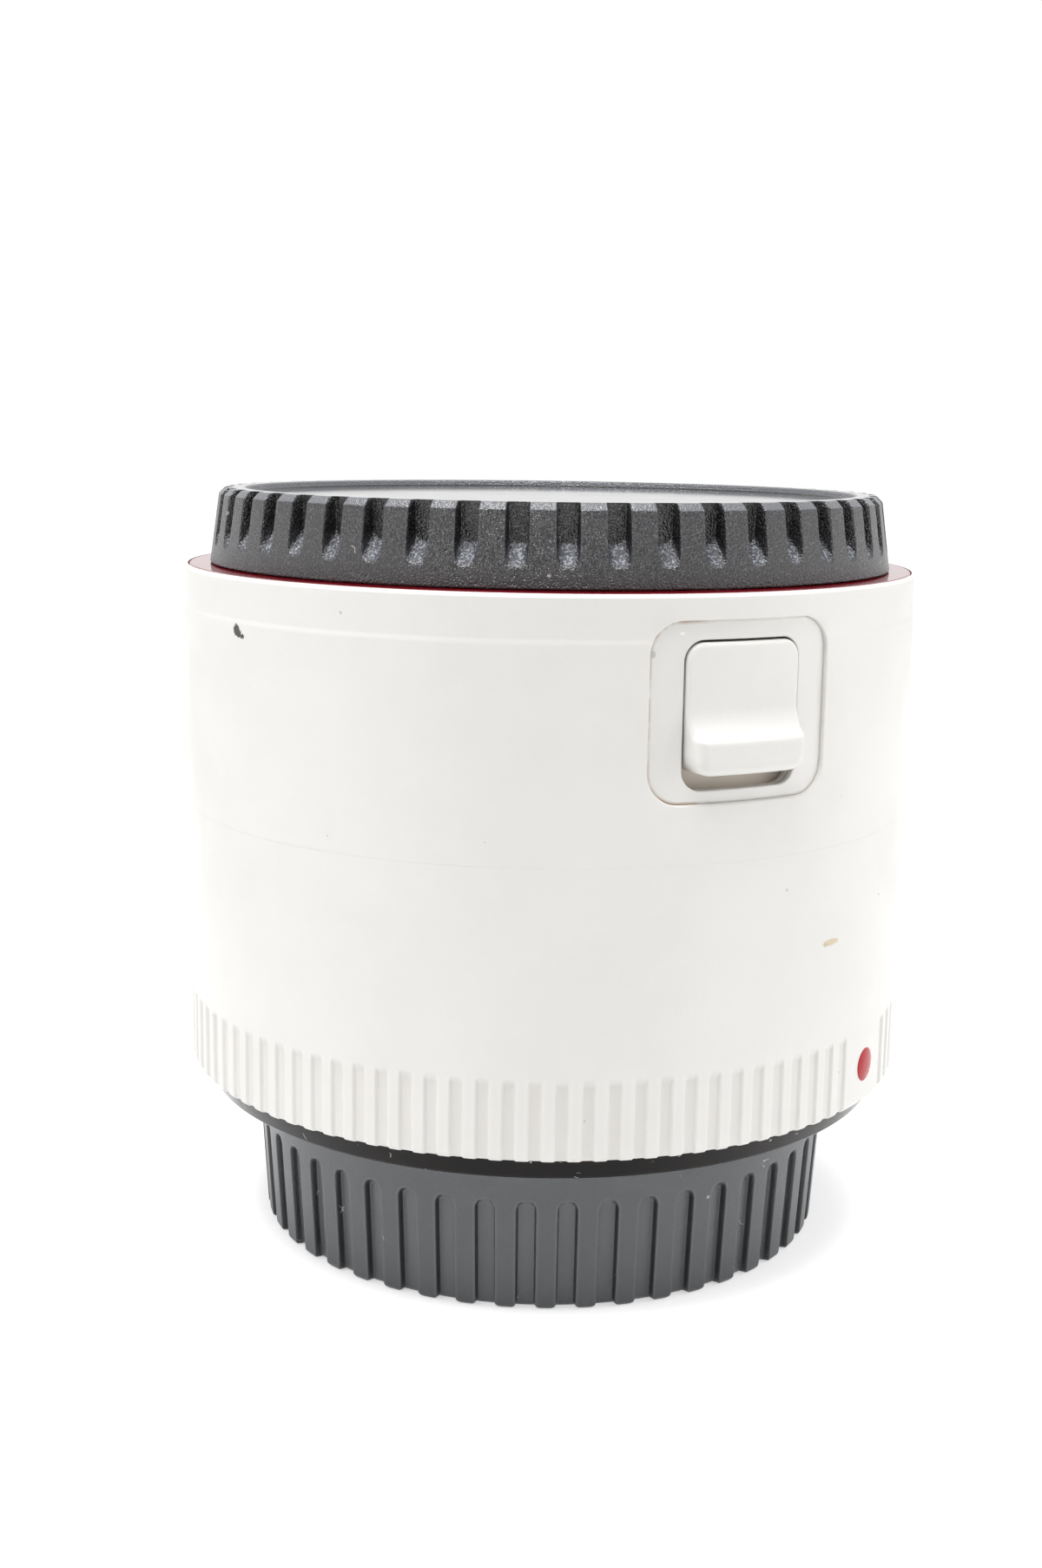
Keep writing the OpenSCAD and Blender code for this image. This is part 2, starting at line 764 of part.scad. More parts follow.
module mount_spring() {
    gap = 120 - lug_angle + 10;
    color(spring_steel)
    difference() {
        ring(front_lug_r + 0.3, mount_ring_r - 0.6, chassis_top, chassis_top + leaf_t);
        for (azimuth = lug_azimuths)
            sector(front_lug_r - over, throat_r + 0.3, chassis_top - over, chassis_top + leaf_t + over,
                azimuth + 60, gap);
        for (azimuth = mount_screw_azimuths)
            at(azimuth, screw_circle, chassis_top - over)
                cylinder(r = screw_r + 2 * fit, h = leaf_t + 2 * over);
        at(lever_azimuth, screw_circle, chassis_top - over)
            cylinder(r = lock_pin_r + 3 * fit, h = leaf_t + 2 * over);
    }
}

module front_mount() {
    color(chrome)
    difference() {
        union() {
            ring(throat_r, mount_ring_r, front_face - front_flange_t, front_face);
            for (azimuth = lug_azimuths)
                sector(front_lug_r, throat_r + touch, front_face - lug_t, front_face - 0.1, azimuth,
                    lug_angle);
        }
        for (azimuth = mount_screw_azimuths)
            at(azimuth, screw_circle, front_face)
                mirror([0, 0, 1])
                    screw_bore(mount_screw_len);
        at(lever_azimuth, screw_circle, front_face - front_flange_t - over)
            cylinder(r = lock_pin_r + run, h = front_flange_t + 2 * over);
    }
}

module front_mount_screws() {
    color(spring_steel)
    for (azimuth = mount_screw_azimuths)
        at(azimuth, screw_circle, front_face - touch)
            mirror([0, 0, 1])
                countersunk_screw(mount_screw_len);
}

module release_lever() {
    color(white_paint)
    difference() {
        union() {
            intersection() {
                rotate([0, 0, lever_azimuth - 90 - 20])
                    rotate_extrude(angle = 40)
                        lever_section();
                radial_block(lever_azimuth, carriage_out, barrel_r + 3 * ledge_out, lever_low + lever_h / 2,
                    lever_w, lever_h + 2 * lever_trim, lever_corner + lever_trim);
            }
            lever_skirt();
        }
        for (side = [-1, 1])
            lever_screw_place(side)
                cylinder(r = lever_screw_r + run, h = carriage_t + lever_screw_bite + fit);
    }
}

// Curved skirt that closes the window round the lever's foot
module lever_skirt() {
    intersection() {
        ring(carriage_out - over, barrel_in - skirt_gap, skirt_low, lever_low + ledge_h);
        at(lever_azimuth, barrel_in, skirt_low - over)
            translate([-skirt_w / 2, 0, 0])
                cube([skirt_w, barrel_in - carriage_out - run, lever_h]);
    }
}

// Section of the lever in radius and height: flush face, hollow slope and thumb ledge
module lever_section() {
    ledge_top = lever_low + ledge_h;
    ledge_r = barrel_r + ledge_out;
    shelf = ledge_out - ledge_round;
    hollow_z = ledge_top + sqrt(shelf * (2 * hollow_r - shelf));
    bite = 0.05;
    difference() {
        polygon([[carriage_out - 2 * over, lever_low], [ledge_r - ledge_round, lever_low],
            [ledge_r, lever_low + ledge_round], [ledge_r, ledge_top - ledge_round],
            [ledge_r - ledge_round, ledge_top], [ledge_r - ledge_round, hollow_z],
            [barrel_r, hollow_z], [barrel_r, lever_top - lever_edge],
            [barrel_r - lever_edge, lever_top], [barrel_in + 3 * fit, lever_top],
            [barrel_in + 3 * fit, carriage_top], [carriage_out - 2 * over, carriage_top]]);
        translate([barrel_r + hollow_r - bite, hollow_z])
            circle(hollow_r);
    }
}

// Sliding plate behind the lever
module lever_carriage() {
    color(alloy)
    difference() {
        union() {
            at(lever_azimuth, carriage_out, carriage_low)
                translate([-carriage_w / 2, 0, 0])
                    cube([carriage_w, carriage_t, carriage_top - carriage_low]);
            at(lever_azimuth, carriage_out - carriage_t / 2, arm_low)
                translate([-arm_w / 2, 0, 0])
                    cube([arm_w, carriage_out - carriage_t / 2 - screw_circle + arm_w / 2, arm_h]);
        }
        at(lever_azimuth, screw_circle, arm_low - over)
            cylinder(r = lock_pin_r + touch, h = arm_h + 2 * over);
        for (side = [-1, 1])
            lever_screw_place(side)
                translate([0, 0, -over])
                    cylinder(r = lever_screw_r + fit, h = carriage_t + 2 * over);
    }
}

// Place of a lever screw on the carriage's inner face, with +Z pointing outwards
module lever_screw_place(side) {
    at(lever_azimuth, carriage_out - carriage_t, lever_screw_z)
        translate([side * lever_screw_x, 0, 0])
            rotate([90, 0, 0])
                children();
}

module lever_screws() {
    head_r = 1.3;
    head_t = 0.25;
    color(spring_steel)
    for (side = [-1, 1])
        lever_screw_place(side) {
            translate([0, 0, -head_t])
                cylinder(r = head_r, h = head_t);
            cylinder(r = lever_screw_r, h = carriage_t + lever_screw_bite);
        }
}

module lock_pin() {
    tip = 0.4;
    color(chrome)
    at(lever_azimuth, screw_circle, arm_low)
        rotate_extrude()
            polygon([[0, 0], [lock_pin_r, 0], [lock_pin_r, lock_pin_top - arm_low - tip],
                [lock_pin_r - tip, lock_pin_top - arm_low], [0, lock_pin_top - arm_low]]);
}

module release_spring() {
    color(spring_steel)
    at(lever_azimuth, spring_circle, 0)
        ring(spring_r - spring_wire, spring_r, spring_low, carriage_low);
}

module front_contact_block() {
    color(black_plastic)
    difference() {
        union() {
            sector(block_in, chassis_in - fit, front_block_low, front_block_step, contact_azimuth,
                block_angle);
            sector(block_in, front_block_r, front_block_low, front_block_top, contact_azimuth, block_angle);
        }
        contact_row(contact_circle, pin_low - contact_travel - fit)
            cylinder(r = contact_r + run, h = contact_len + contact_travel + over);
    }
}

module contact_pins() {
    color(gold)
    contact_row(contact_circle, pin_low)
        rotate_extrude() {
            square([contact_r, contact_len - contact_r]);
            translate([0, contact_len - contact_r])
                intersection() {
                    circle(contact_r);
                    square(contact_r);
                }
        }
}

// Optics

module lens_tube() {
    middle_clear = middle_glass_r - glass_rim + fit;
    rear_clear = rear_glass_r - glass_rim + fit;
    crown_room = l5_front + 0.3;
    color(dark_alloy)
    difference() {
        rotate_extrude()
            polygon([[bore_rear, tube_low], [tube_r, tube_low], [tube_r, tube_flange_z],
                [tube_flange_r, tube_flange_z], [tube_flange_r, tube_flange_z + tube_flange_t],
                [tube_r, tube_flange_z + tube_flange_t], [tube_r, nose_low], [nose_r, nose_low + 0.6],
                [nose_r, nose_top - 0.6], [nose_r - 0.6, nose_top], [bore_front + 0.8, nose_top],
                [bore_front, front_retainer_z + retainer_t], [bore_front, front_shoulder],
                [bore_middle, front_shoulder], [bore_middle, middle_shoulder],
                [middle_clear, middle_shoulder], [middle_clear, rear_shoulder + crown_room],
                [rear_clear, rear_shoulder], [bore_rear, rear_shoulder]]);
        sector(tube_r, strip_in + strip_t + 0.3, tube_flange_z - over, tube_flange_z + tube_flange_t + over,
            contact_azimuth, strip_angle + 2);
        for (azimuth = tube_screw_azimuths)
            at(azimuth, tube_screw_circle, tube_flange_z - over)
                cylinder(r = screw_r + fit, h = tube_flange_t + 2 * over);
    }
}

module tube_screws() {
    head_r = 1.2;
    color(spring_steel)
    for (azimuth = tube_screw_azimuths)
        at(azimuth, tube_screw_circle, tube_flange_z - tube_screw_len + fit) {
            cylinder(r = screw_r, h = tube_screw_len + tube_flange_t - fit + touch);
            translate([0, 0, tube_screw_len + tube_flange_t - fit])
                cylinder(r = head_r, h = tube_head_t);
        }
}

module lens_1() {
    element(front_glass_r, l1_t, l1_front, l1_rear, l1_z);
}

module lens_2() {
    element(front_glass_r, l2_t, l2_front, l2_rear, l2_z);
}

module lens_3() {
    element(middle_glass_r, l3_t, l3_front, l3_rear, l3_z);
}

module lens_4() {
    element(middle_glass_r, l4_t, l4_front, l4_rear, l4_z);
}

module lens_5() {
    element(rear_glass_r, l5_t, l5_front, l5_rear, l5_z);
}

module lens_6() {
    element(rear_glass_r, l6_t, l6_front, l6_rear, l6_z);
}

module lens_7() {
    element(rear_glass_r, l7_t, l7_front, l7_rear, l7_z);
}

// Ring that holds a group of elements against its shoulder
module glass_ring(r, t, level) {
    color(dark_alloy)
        ring(r - glass_rim + 0.2, r, level + touch, level + t - touch);
}

module front_retainer() {
    glass_ring(front_glass_r, retainer_t, front_retainer_z);
}

module front_spacer() {
    glass_ring(front_glass_r, front_spacer_t, front_spacer_z);
}

module middle_retainer() {
    glass_ring(middle_glass_r, retainer_t, middle_retainer_z);
}

module rear_spacer() {
    glass_ring(rear_glass_r, rear_spacer_t, rear_spacer_z);
}

module rear_retainer() {
    glass_ring(rear_glass_r, retainer_t, rear_retainer_z);
}

// Electronics

module circuit_board() {
    color(board_green)
        sector(board_in, board_r, board_z + touch, board_z + board_t, contact_azimuth, board_angle);
}

module control_chips() {
    middle = (board_in + board_r) / 2;
    chips = [[-70, 3.4, 5], [-30, 3.4, 3.4], [25, 3.2, 6], [80, 3.4, 4]];
    color(black_plastic)
    for (chip = chips)
        at(contact_azimuth + chip[0], middle, board_z + board_t + chip_t / 2)
            cube([chip[2], min(chip[1], board_r - board_in - 0.4), chip_t], center = true);
}

module flex_strip() {
    color(gold)
        sector(strip_in, strip_in + strip_t, rear_block_low + 3, front_block_step, contact_azimuth,
            strip_angle);
}

// Front cap

module front_cap() {
    round_r = front_rim_round;
    color(black_plastic)
    difference() {
        union() {
            rotate_extrude()
                polygon([[0, plate_under], [skirt_r - skirt_wall, plate_under],
                    [skirt_r - skirt_wall, front_face - skirt_drop], [skirt_r, front_face - skirt_drop],
                    [skirt_r, plate_under], [recess_r - 0.2, plate_under],
                    [recess_r - 0.2, front_foot + foot_cavity_h], [foot_in, front_foot + foot_cavity_h],
                    [foot_in, front_foot], [front_cap_r, front_foot],
                    [front_cap_top_r, front_top - round_r], [front_cap_top_r - round_r, front_top],
                    [recess_r + 0.3, front_top], [recess_r, front_top - 0.3], [recess_r, recess_z],
                    [0, recess_z]]);
            for (azimuth = gap_azimuths)
                sector(skirt_r - touch, front_cap_lug_r, front_face - skirt_drop + 0.2,
                    front_face - skirt_drop + 0.2 + lug_t, azimuth, cap_lug_angle);
        }
        intersection() {
            ring(notch_back_r, front_cap_r + 2 * over, front_foot, front_top + over);
            for (i = [0 : notch_count - 1])
                at(notch_azimuth + i * notch_pitch, front_cap_r)
                    notch_cutter();
        }
    }
}

// Sloping trough with round lower corners and straight sides, open towards the rim
module notch_cutter() {
    half = notch_w / 2;
    corner = half - notch_round;
    reach = front_cap_h * 2;
    translate([0, 0, front_foot + notch_rise + half / cos(notch_slope)])
        rotate([notch_slope - 90, 0, 0])
            translate([0, 0, -2 * over])
                linear_extrude(reach) {
                    translate([-half, -reach])
                        square([notch_w, reach + corner]);
                    translate([-corner, -reach])
                        square([2 * corner, reach + half]);
                    for (side = [-1, 1])
                        translate([side * corner, corner])
                            circle(notch_round);
                }
}

rear_cap();
rear_seal_ring();
rear_mount();
rear_mount_screws();
rear_contact_block();
rear_contacts();
rear_baffle();
rear_barrel();
index_dot();
front_barrel();
window_plate();
red_ring();
chassis();
mount_spring();
front_mount();
front_mount_screws();
front_contact_block();
contact_pins();
release_lever();
lever_carriage();
lever_screws();
lock_pin();
release_spring();
lens_tube();
tube_screws();
lens_1();
lens_2();
lens_3();
lens_4();
lens_5();
lens_6();
lens_7();
front_retainer();
front_spacer();
middle_retainer();
rear_spacer();
rear_retainer();
circuit_board();
control_chips();
flex_strip();
front_cap();
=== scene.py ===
"""Looks of a white camera teleconverter that stands on its rear cap with its front cap fitted.

Lengths are written in millimetres and put into the meshes in metres. The optical axis is Z, azimuth 0 faces
the camera along -Y and grows towards +X, and every shape is a grid of points worked out as whole arrays.
"""

import bmesh
import bpy
import numpy as np
from mathutils import Matrix


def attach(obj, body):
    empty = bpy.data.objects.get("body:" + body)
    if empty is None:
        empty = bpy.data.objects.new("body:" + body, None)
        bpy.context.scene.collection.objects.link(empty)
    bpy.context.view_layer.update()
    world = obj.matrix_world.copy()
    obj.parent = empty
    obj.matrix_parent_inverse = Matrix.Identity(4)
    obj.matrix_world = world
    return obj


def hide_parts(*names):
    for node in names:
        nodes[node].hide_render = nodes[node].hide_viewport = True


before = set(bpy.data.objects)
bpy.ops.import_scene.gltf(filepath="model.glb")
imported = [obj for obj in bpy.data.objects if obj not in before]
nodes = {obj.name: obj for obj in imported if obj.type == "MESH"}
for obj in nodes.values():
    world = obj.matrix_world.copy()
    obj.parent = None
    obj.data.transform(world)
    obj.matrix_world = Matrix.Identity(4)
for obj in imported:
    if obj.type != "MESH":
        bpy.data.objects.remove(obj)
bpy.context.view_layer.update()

MM = 0.001

# Levels along the axis and radii of the barrel's two shells, its red ring and its seal ring
REAR_FACE, BODY_Z, SEAM_Z, FRONT_SHELL_Z, FRONT_FACE = 15.0, 17.2, 43.197, 43.203, 66.2
BARREL_R, BARREL_IN, BAND_R = 35.9, 33.9, 35.8
REAR_EDGE_R, REAR_EDGE_Z, SPIGOT_R, SPIGOT_Z, SOCKET_R, SOCKET_Z = 35.6, 17.5, 34.85, 45.55, 34.95, 45.65
STEP_LOW, STEP_HIGH = 62.04, 62.45
BAND_TOP, LIP_R, LIP_IN, LIP_Z = 65.85, 35.55, 32.7, 64.22
RED_R, RED_IN, RED_Z = 35.45, 32.65, 65.2
SEAL_R, SEAL_IN, SEAL_FOOT_R, SEAL_EDGE_R, SEAL_EDGE_Z = 35.1, 32.1, 33.8, 34.05, 15.2

# Front cap: outside, rim, hollow underside and the spigot with its lugs
CAP_FOOT, CAP_TOP, CAP_R, CAP_TOP_R, CAP_BEVEL = 66.3, 73.4, 33.4, 32.45, 0.6
RIM_R, RIM_IN, RECESS_R, CAP_RECESS = 31.85, 29.9, 29.75, 72.8
CAP_CEILING, CAP_IN, CAP_SHELF, CAP_MOUTH_R = 71.4, 29.55, 68.1, 31.2
TUBE_IN, TUBE_R, TUBE_Z, LUG_LOW, LUG_HIGH, LUG_REACH = 23.6, 25.2, 62.2, 62.55, 63.9, 1.45
NOTCH_BACK, NOTCH_RISE, NOTCH_ROUND = 31.15, 1.45, 0.7

# Rear cap: outside, inside with its lugs, and grooves
CUP_H, CUP_R, BASE_R, BASE_ROUND = 14.9, 29.35, 28.45, 0.35
CUP_IN, WELL_R, WELL_Z, WELL_FLOOR, MOUTH_LOW, MOUTH_REACH = 27.35, 26.15, 7.0, 1.6, 13.7, 1.6
GROOVE_DEPTH, GROOVE_TOP, GROOVE_FOOT = 0.7, 10.7, 0.55

# The lugs of both caps: azimuths, angle and the ramp at each end
LUG_GAPS, LUG_ANGLE, LUG_RAMP = (10.0, 130.0, 250.0), 48.0, 0.15

# Patterns, each as count, azimuth of the first and width, and the radii at which the caps' columns are spaced
NOTCHES, GROOVES, RIBS = (48, 2.8, 1.9), (48, -2.2, 1.75), (98, -0.65, 1.15)
NOTCH_R, GROOVE_R = 33.0, 28.7

# Ribbed band and index dot
RIB_DEPTH, RIB_TOP = 0.25, 24.67
DOT_AZIMUTH, DOT_Z, DOT_R, DOT_FOOT, DOT_CROWN, PAD_ANGLE = 58.2, 20.9, 1.6, 35.2, 0.2, 10.5

# Inlaid plate and its window, each as width, height, corner radius and level of the middle
PLATE = (17.55, 15.35, 2.8, 56.175)
WINDOW = (11.45, 12.8, 1.8, 55.9)
PLATE_R, PLATE_BACK, POCKET_R, CLEARANCE = 35.5, 34.75, 34.65, 0.1

# Release lever and the skirt round its foot
LEVER_AZIMUTH, LEVER_BACK = 28.03, 33.3
LEVER_W, LEVER_LOW, LEVER_TOP, LEVER_CORNER = 11.1, 51.0, 62.1, 1.6
LEDGE_R, LEDGE_TOP, LEDGE_ROUND, HOLLOW_R, HOLLOW_TOP = 37.7, 54.25, 0.55, 2.93, 56.65
SKIRT_W, SKIRT_R, SKIRT_BACK, SKIRT_LOW = 12.7, 33.6, 33.4, 48.5


# Shapes

def on_axis(radius, azimuth, level):
    """Points round the optical axis: x = r sin a, y = -r cos a, z = level, in metres."""
    a = np.radians(azimuth)
    return MM * np.stack(np.broadcast_arrays(radius * np.sin(a), -radius * np.cos(a), level), -1)


def beside(radius, across, level):
    """Points on a cylinder round the axis that lie a straight distance across from the lever's plane."""
    return on_axis(radius, LEVER_AZIMUTH + np.degrees(np.arcsin(across / radius)), level)


def smooth_step(x):
    """Ramp from 0 to 1 that starts and ends level: 3x^2 - 2x^3 between 0 and 1."""
    x = np.clip(x, 0, 1)
    return x * x * (3 - 2 * x)


def quarter_drop(size, along):
    """Drop of a quarter circle at an edge: s - sqrt(s^2 - (s - along)^2), from s at the edge to 0 further in."""
    return size - np.sqrt(size ** 2 - np.clip(size - along, 0, size) ** 2)


def from_nearest(azimuth, first, count):
    """Signed angle, in degrees, from the nearest of some equally spaced azimuths."""
    pitch = 360 / count
    return (azimuth - first + pitch / 2) % pitch - pitch / 2


def grid_faces(rows, columns, wrap_rows=False, wrap_columns=True):
    """Quads of a grid numbered row by row. A wrapped side joins its last line to its first."""
    i = np.arange(rows if wrap_rows else rows - 1)[:, None]
    j = np.arange(columns if wrap_columns else columns - 1)[None, :]
    down, right = (i + 1) % rows, (j + 1) % columns
    corners = (i * columns + j, i * columns + right, down * columns + right, down * columns + j)
    return np.stack(np.broadcast_arrays(*corners), -1).reshape(-1, 4)


def walk_round(rows, columns):
    """Row and column numbers of a grid's edge, once round: first row, last column, last row, first column."""
    up, along = np.arange(rows - 1), np.arange(columns - 1)
    i = np.r_[0 * along, up, 0 * along + rows - 1, rows - 1 - up]
    j = np.r_[along, 0 * up + columns - 1, columns - 1 - along, 0 * up]
    return i, j


def rounded_profile(corners, steps=5):
    """Closed profile through (radius, level, rounding) corners, as an array of radii and levels.

    Each corner becomes a parabola (1-t)^2 A + 2t(1-t) C + t^2 B, whose ends A and B lie the rounding's length
    along its two sides. Each side also gets a point close to both of its ends, which keeps its shading flat.
    """
    c = np.array(corners, float)
    before, after = np.roll(c, 1, 0)[:, :2], np.roll(c, -1, 0)[:, :2]
    here, rounding = c[:, :2], c[:, 2:]
    unit = lambda v: v / np.maximum(np.linalg.norm(v, axis=1, keepdims=True), 1e-9)
    to_before, to_after = unit(before - here), unit(after - here)
    start, end = here + rounding * to_before, here + rounding * to_after
    t = np.linspace(0, 1, steps)[None, :, None]
    arcs = (1 - t) ** 2 * start[:, None] + 2 * t * (1 - t) * here[:, None] + t ** 2 * end[:, None]
    side = 0.35 * rounding
    flat = np.concatenate([(start + side * to_before)[:, None], arcs, (end + side * to_after)[:, None]], 1)
    return flat[(rounding > 0) | (np.arange(flat.shape[1]) == 1)]


def columns_round(pattern, offsets, radius, extra=()):
    """Azimuths that repeat a list of offsets, in millimetres at a radius, round every feature of a pattern."""
    count, first, _ = pattern
    centres = first + 360 / count * np.arange(count)
    spread = np.degrees(np.asarray(offsets) / radius)
    return np.unique(np.round(np.r_[(centres[:, None] + spread).ravel(), extra] % 360, 4))


def turned_grid(profile, fine, pattern, sides, between, plain, at_radius, extra=()):
    """Radius, azimuth and level of every point of a turned profile that carries a pattern.

    A fine row has columns about both sides of each feature and between them. Any other row has each of its columns
    moved to the nearest plain one, and points that meet are welded afterwards, so smooth walls have few faces.
    """
    half = pattern[2] / 2
    own = columns_round(pattern, np.r_[-half - sides, half + sides, between], at_radius, extra)
    kept = columns_round(pattern, plain, at_radius, extra)
    away = (own[:, None] - kept + 180) % 360 - 180
    azimuth = np.where(fine[:, None], own, kept[np.abs(away).argmin(1)])
    radius, level = np.broadcast_arrays(profile[:, :1], profile[:, 1:] + 0 * azimuth)
    return radius.copy(), azimuth, level


def off_feature(radius, azimuth, pattern):
    """Straight distance from the middle of a pattern's nearest feature, r sin(angle), and half the width of it."""
    count, first, width = pattern
    return np.abs(radius * np.sin(np.radians(from_nearest(azimuth, first, count)))), width / 2


def round_rect(width, height, corner, x, z):
    """Signed distance of points from the edge of a rectangle with round corners, below zero inside."""
    dx, dz = np.abs(x) - width / 2 + corner, np.abs(z) - height / 2 + corner
    return np.hypot(np.maximum(dx, 0), np.maximum(dz, 0)) + np.minimum(np.maximum(dx, dz), 0) - corner


def edge_along(shape, grow, dx, dz):
    """Points, across and level, where rays from the window's middle meet a grown rectangle with round corners.

    The distance along each ray is halved in on the sign of the rectangle's signed distance.
    """
    width, height, corner, middle = np.add(shape, (2 * grow, 2 * grow, grow, 0))
    near, far = np.zeros_like(dx), np.full_like(dx, width + height)
    for _ in range(48):
        reach = (near + far) / 2
        inside = round_rect(width, height, corner, reach * dx, reach * dz - middle + WINDOW[3]) < 0
        near, far = np.where(inside, reach, near), np.where(inside, far, reach)
    return np.stack([near * dx, near * dz + WINDOW[3]])


def show(name, data):
    """New object in the scene."""
    made = bpy.data.objects.new(name, data)
    bpy.context.scene.collection.objects.link(made)
    return made


def piece(name, points, faces, body, slot, material, replaces=(), weld=False, **fields):
    """Puts arrays of points and quads into a smooth mesh at the origin that rides on a CAD body."""
    mesh = bpy.data.meshes.new(name)
    points, faces = points.reshape(-1, 3), faces.reshape(-1, 4)
    mesh.vertices.add(len(points))
    mesh.vertices.foreach_set("co", points.astype(np.float32).ravel())
    mesh.loops.add(faces.size)
    mesh.loops.foreach_set("vertex_index", faces.astype(np.int32).ravel())
    mesh.polygons.add(len(faces))
    mesh.polygons.foreach_set("loop_start", np.arange(0, faces.size, 4, dtype=np.int32))
    mesh.update(calc_edges=True)
    for field, values in fields.items():
        mesh.attributes.new(field, "FLOAT", "POINT").data.foreach_set("value", values.astype(np.float32).ravel())
    if weld:
        shape = bmesh.new()
        shape.from_mesh(mesh)
        bmesh.ops.remove_doubles(shape, verts=shape.verts, dist=1e-8)
        shape.to_mesh(mesh)
        shape.free()
    mesh.validate()
    mesh.polygons.foreach_set("use_smooth", np.ones(len(mesh.polygons), bool))
    made = show(name, mesh)
    mesh.materials.append(material)
    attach(made, body)
    if replaces:
        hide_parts(*replaces)


def ring_piece(name, corners, body, slot, material, replaces, columns=288):
    """Ring turned from a closed profile: each profile point goes once round the axis."""
    profile = rounded_profile(corners)
    azimuth = np.linspace(0, 360, columns, endpoint=False)
    points = on_axis(profile[:, :1], azimuth[None], profile[:, 1:])
    faces = grid_faces(len(profile), columns, wrap_rows=True)
    piece(name, points, faces, body, slot, material, replaces)


def lug_reach(azimuth, softness=0.25):
    """1 over the three cap lugs and 0 between them, with short ramps at their ends."""
    off = np.abs(from_nearest(azimuth, LUG_GAPS[0], 3))
    return smooth_step((LUG_ANGLE / 2 - off) / softness + 0.5)


LUG_ENDS = LUG_ANGLE / 2 + np.array([-LUG_RAMP, 0, LUG_RAMP])
LUG_EDGES = (np.array(LUG_GAPS)[:, None] + np.r_[-LUG_ENDS, LUG_ENDS]).ravel()


def make_front_cap(material):
    """Front cap: a profile turned round the axis, then cut back by 48 notches and pushed out by three lugs.

    A notch is a trough that climbs inwards at 45 degrees, so on its floor radius + level is a constant. Across,
    the floor is flat in the middle and rises by a quarter circle to each side, and a back wall stops it.
    """
    wall_top = CAP_TOP - CAP_BEVEL
    levels = np.r_[np.linspace(66.8, 67.4, 3), np.linspace(67.5, 70.6, 26), np.linspace(70.8, 72.3, 7)]
    corners = [(0, CAP_CEILING, 0), (12, CAP_CEILING, 0), (TUBE_IN, CAP_CEILING, 0.3), (TUBE_IN, TUBE_Z, 0.15),
               (TUBE_R, TUBE_Z, 0.15)]
    corners += [(TUBE_R, z, 0) for z in (LUG_LOW - 0.15, LUG_LOW, LUG_HIGH, LUG_HIGH + 0.15)]
    corners += [(TUBE_R, CAP_CEILING, 0.3), (CAP_IN, CAP_CEILING, 0.2), (CAP_IN, CAP_SHELF, 0.2),
                (CAP_MOUTH_R, CAP_SHELF, 0.2), (CAP_MOUTH_R, CAP_FOOT, 0.15), (CAP_R, CAP_FOOT, 0.15)]
    corners += [(CAP_R + (CAP_TOP_R - CAP_R) * (z - CAP_FOOT) / (wall_top - CAP_FOOT), z, 0) for z in levels]
    corners += [(CAP_TOP_R, wall_top, 0.12), (RIM_R, CAP_TOP, 0.2), (31.5, CAP_TOP, 0), (31.1, CAP_TOP, 0),
                (RIM_IN, CAP_TOP, 0.22), (RECESS_R, CAP_RECESS, 0.2)]
    corners += [(r, CAP_RECESS, 0) for r in (20, 8, 0)]
    profile = rounded_profile(corners)
    sides = np.array([-0.12, -0.08, -0.045, -0.015, 0.015, 0.045, 0.08, 0.13])
    between = [-1.7, -1.3, -0.68, -0.4, -0.14, 0.14, 0.4, 0.68, 1.3, 1.7, 2.16]
    plain = [-1.7, -0.965, -0.14, 0.68, 1.3, 2.16]
    fine = (profile[:, 0] > 31.05) & (profile[:, 1] > 67.45)
    radius, azimuth, level = turned_grid(profile, fine, NOTCHES, sides, between, plain, NOTCH_R, LUG_EDGES)
    lugs = (np.abs(radius - TUBE_R) < 0.05) & (level > LUG_LOW - 0.05) & (level < LUG_HIGH + 0.05)
    radius += LUG_REACH * lugs * lug_reach(azimuth)
    off, half = off_feature(radius, azimuth, NOTCHES)
    corner = half - NOTCH_ROUND
    trough = corner + np.sqrt(np.maximum(NOTCH_ROUND ** 2 - np.maximum(off - corner, 0) ** 2, 0))
    floor = CAP_R + CAP_FOOT + NOTCH_RISE + np.sqrt(2) * (half - trough) - level
    back = NOTCH_BACK + 0.03 * (radius - NOTCH_BACK)
    outer = (radius > 31.0) & (level > CAP_FOOT + 1.0)
    depth = outer * np.maximum(radius - np.maximum(floor, back), 0) * smooth_step((half + 0.07 - off) / 0.14)
    # Fields for the material: painted shade on the notches' walls, painted highlights on their sloping floors and on
    # the bevelled edges, paler bands beside the notches, and the polished top
    hollow = np.clip(depth / 0.4, 0, 1)
    # Painted highlight: the sloping floor of each notch is made lighter, as if lit from above
    scoop = hollow * smooth_step((floor - back) / 0.12) * smooth_step((half + 0.02 - off) / 0.4)
    # Painted shade: the notch walls are made darker, most of all the side walls
    shade = np.clip(hollow - scoop, 0, 1) * (0.8 + 0.2 * smooth_step((off - half + 0.2) / 0.16))
    rim = outer * np.exp(-((off - half - 0.1) / 0.14) ** 2) * smooth_step((level - 68.6) / 0.8) * (hollow < 0.2)
    # Painted highlight: the top's outer edge and the corner of its recess are made lighter
    outer_edge = outer & (level > 72.78) & (radius > 31.7) & (hollow < 0.1)
    bevel = outer_edge | ((level > 72.85) & (radius > 29.6) & (radius < 30.0))
    polish = (level > 72) & (radius < 31.6) & ~bevel
    piece("front_cap_shell", on_axis(radius - depth, azimuth, level), grid_faces(*azimuth.shape), "front_cap",
          "front_cap_plastic", material, ("front_cap",), True,
          shade=shade, scoop=scoop, rim=rim, bevel=bevel, polish=polish)


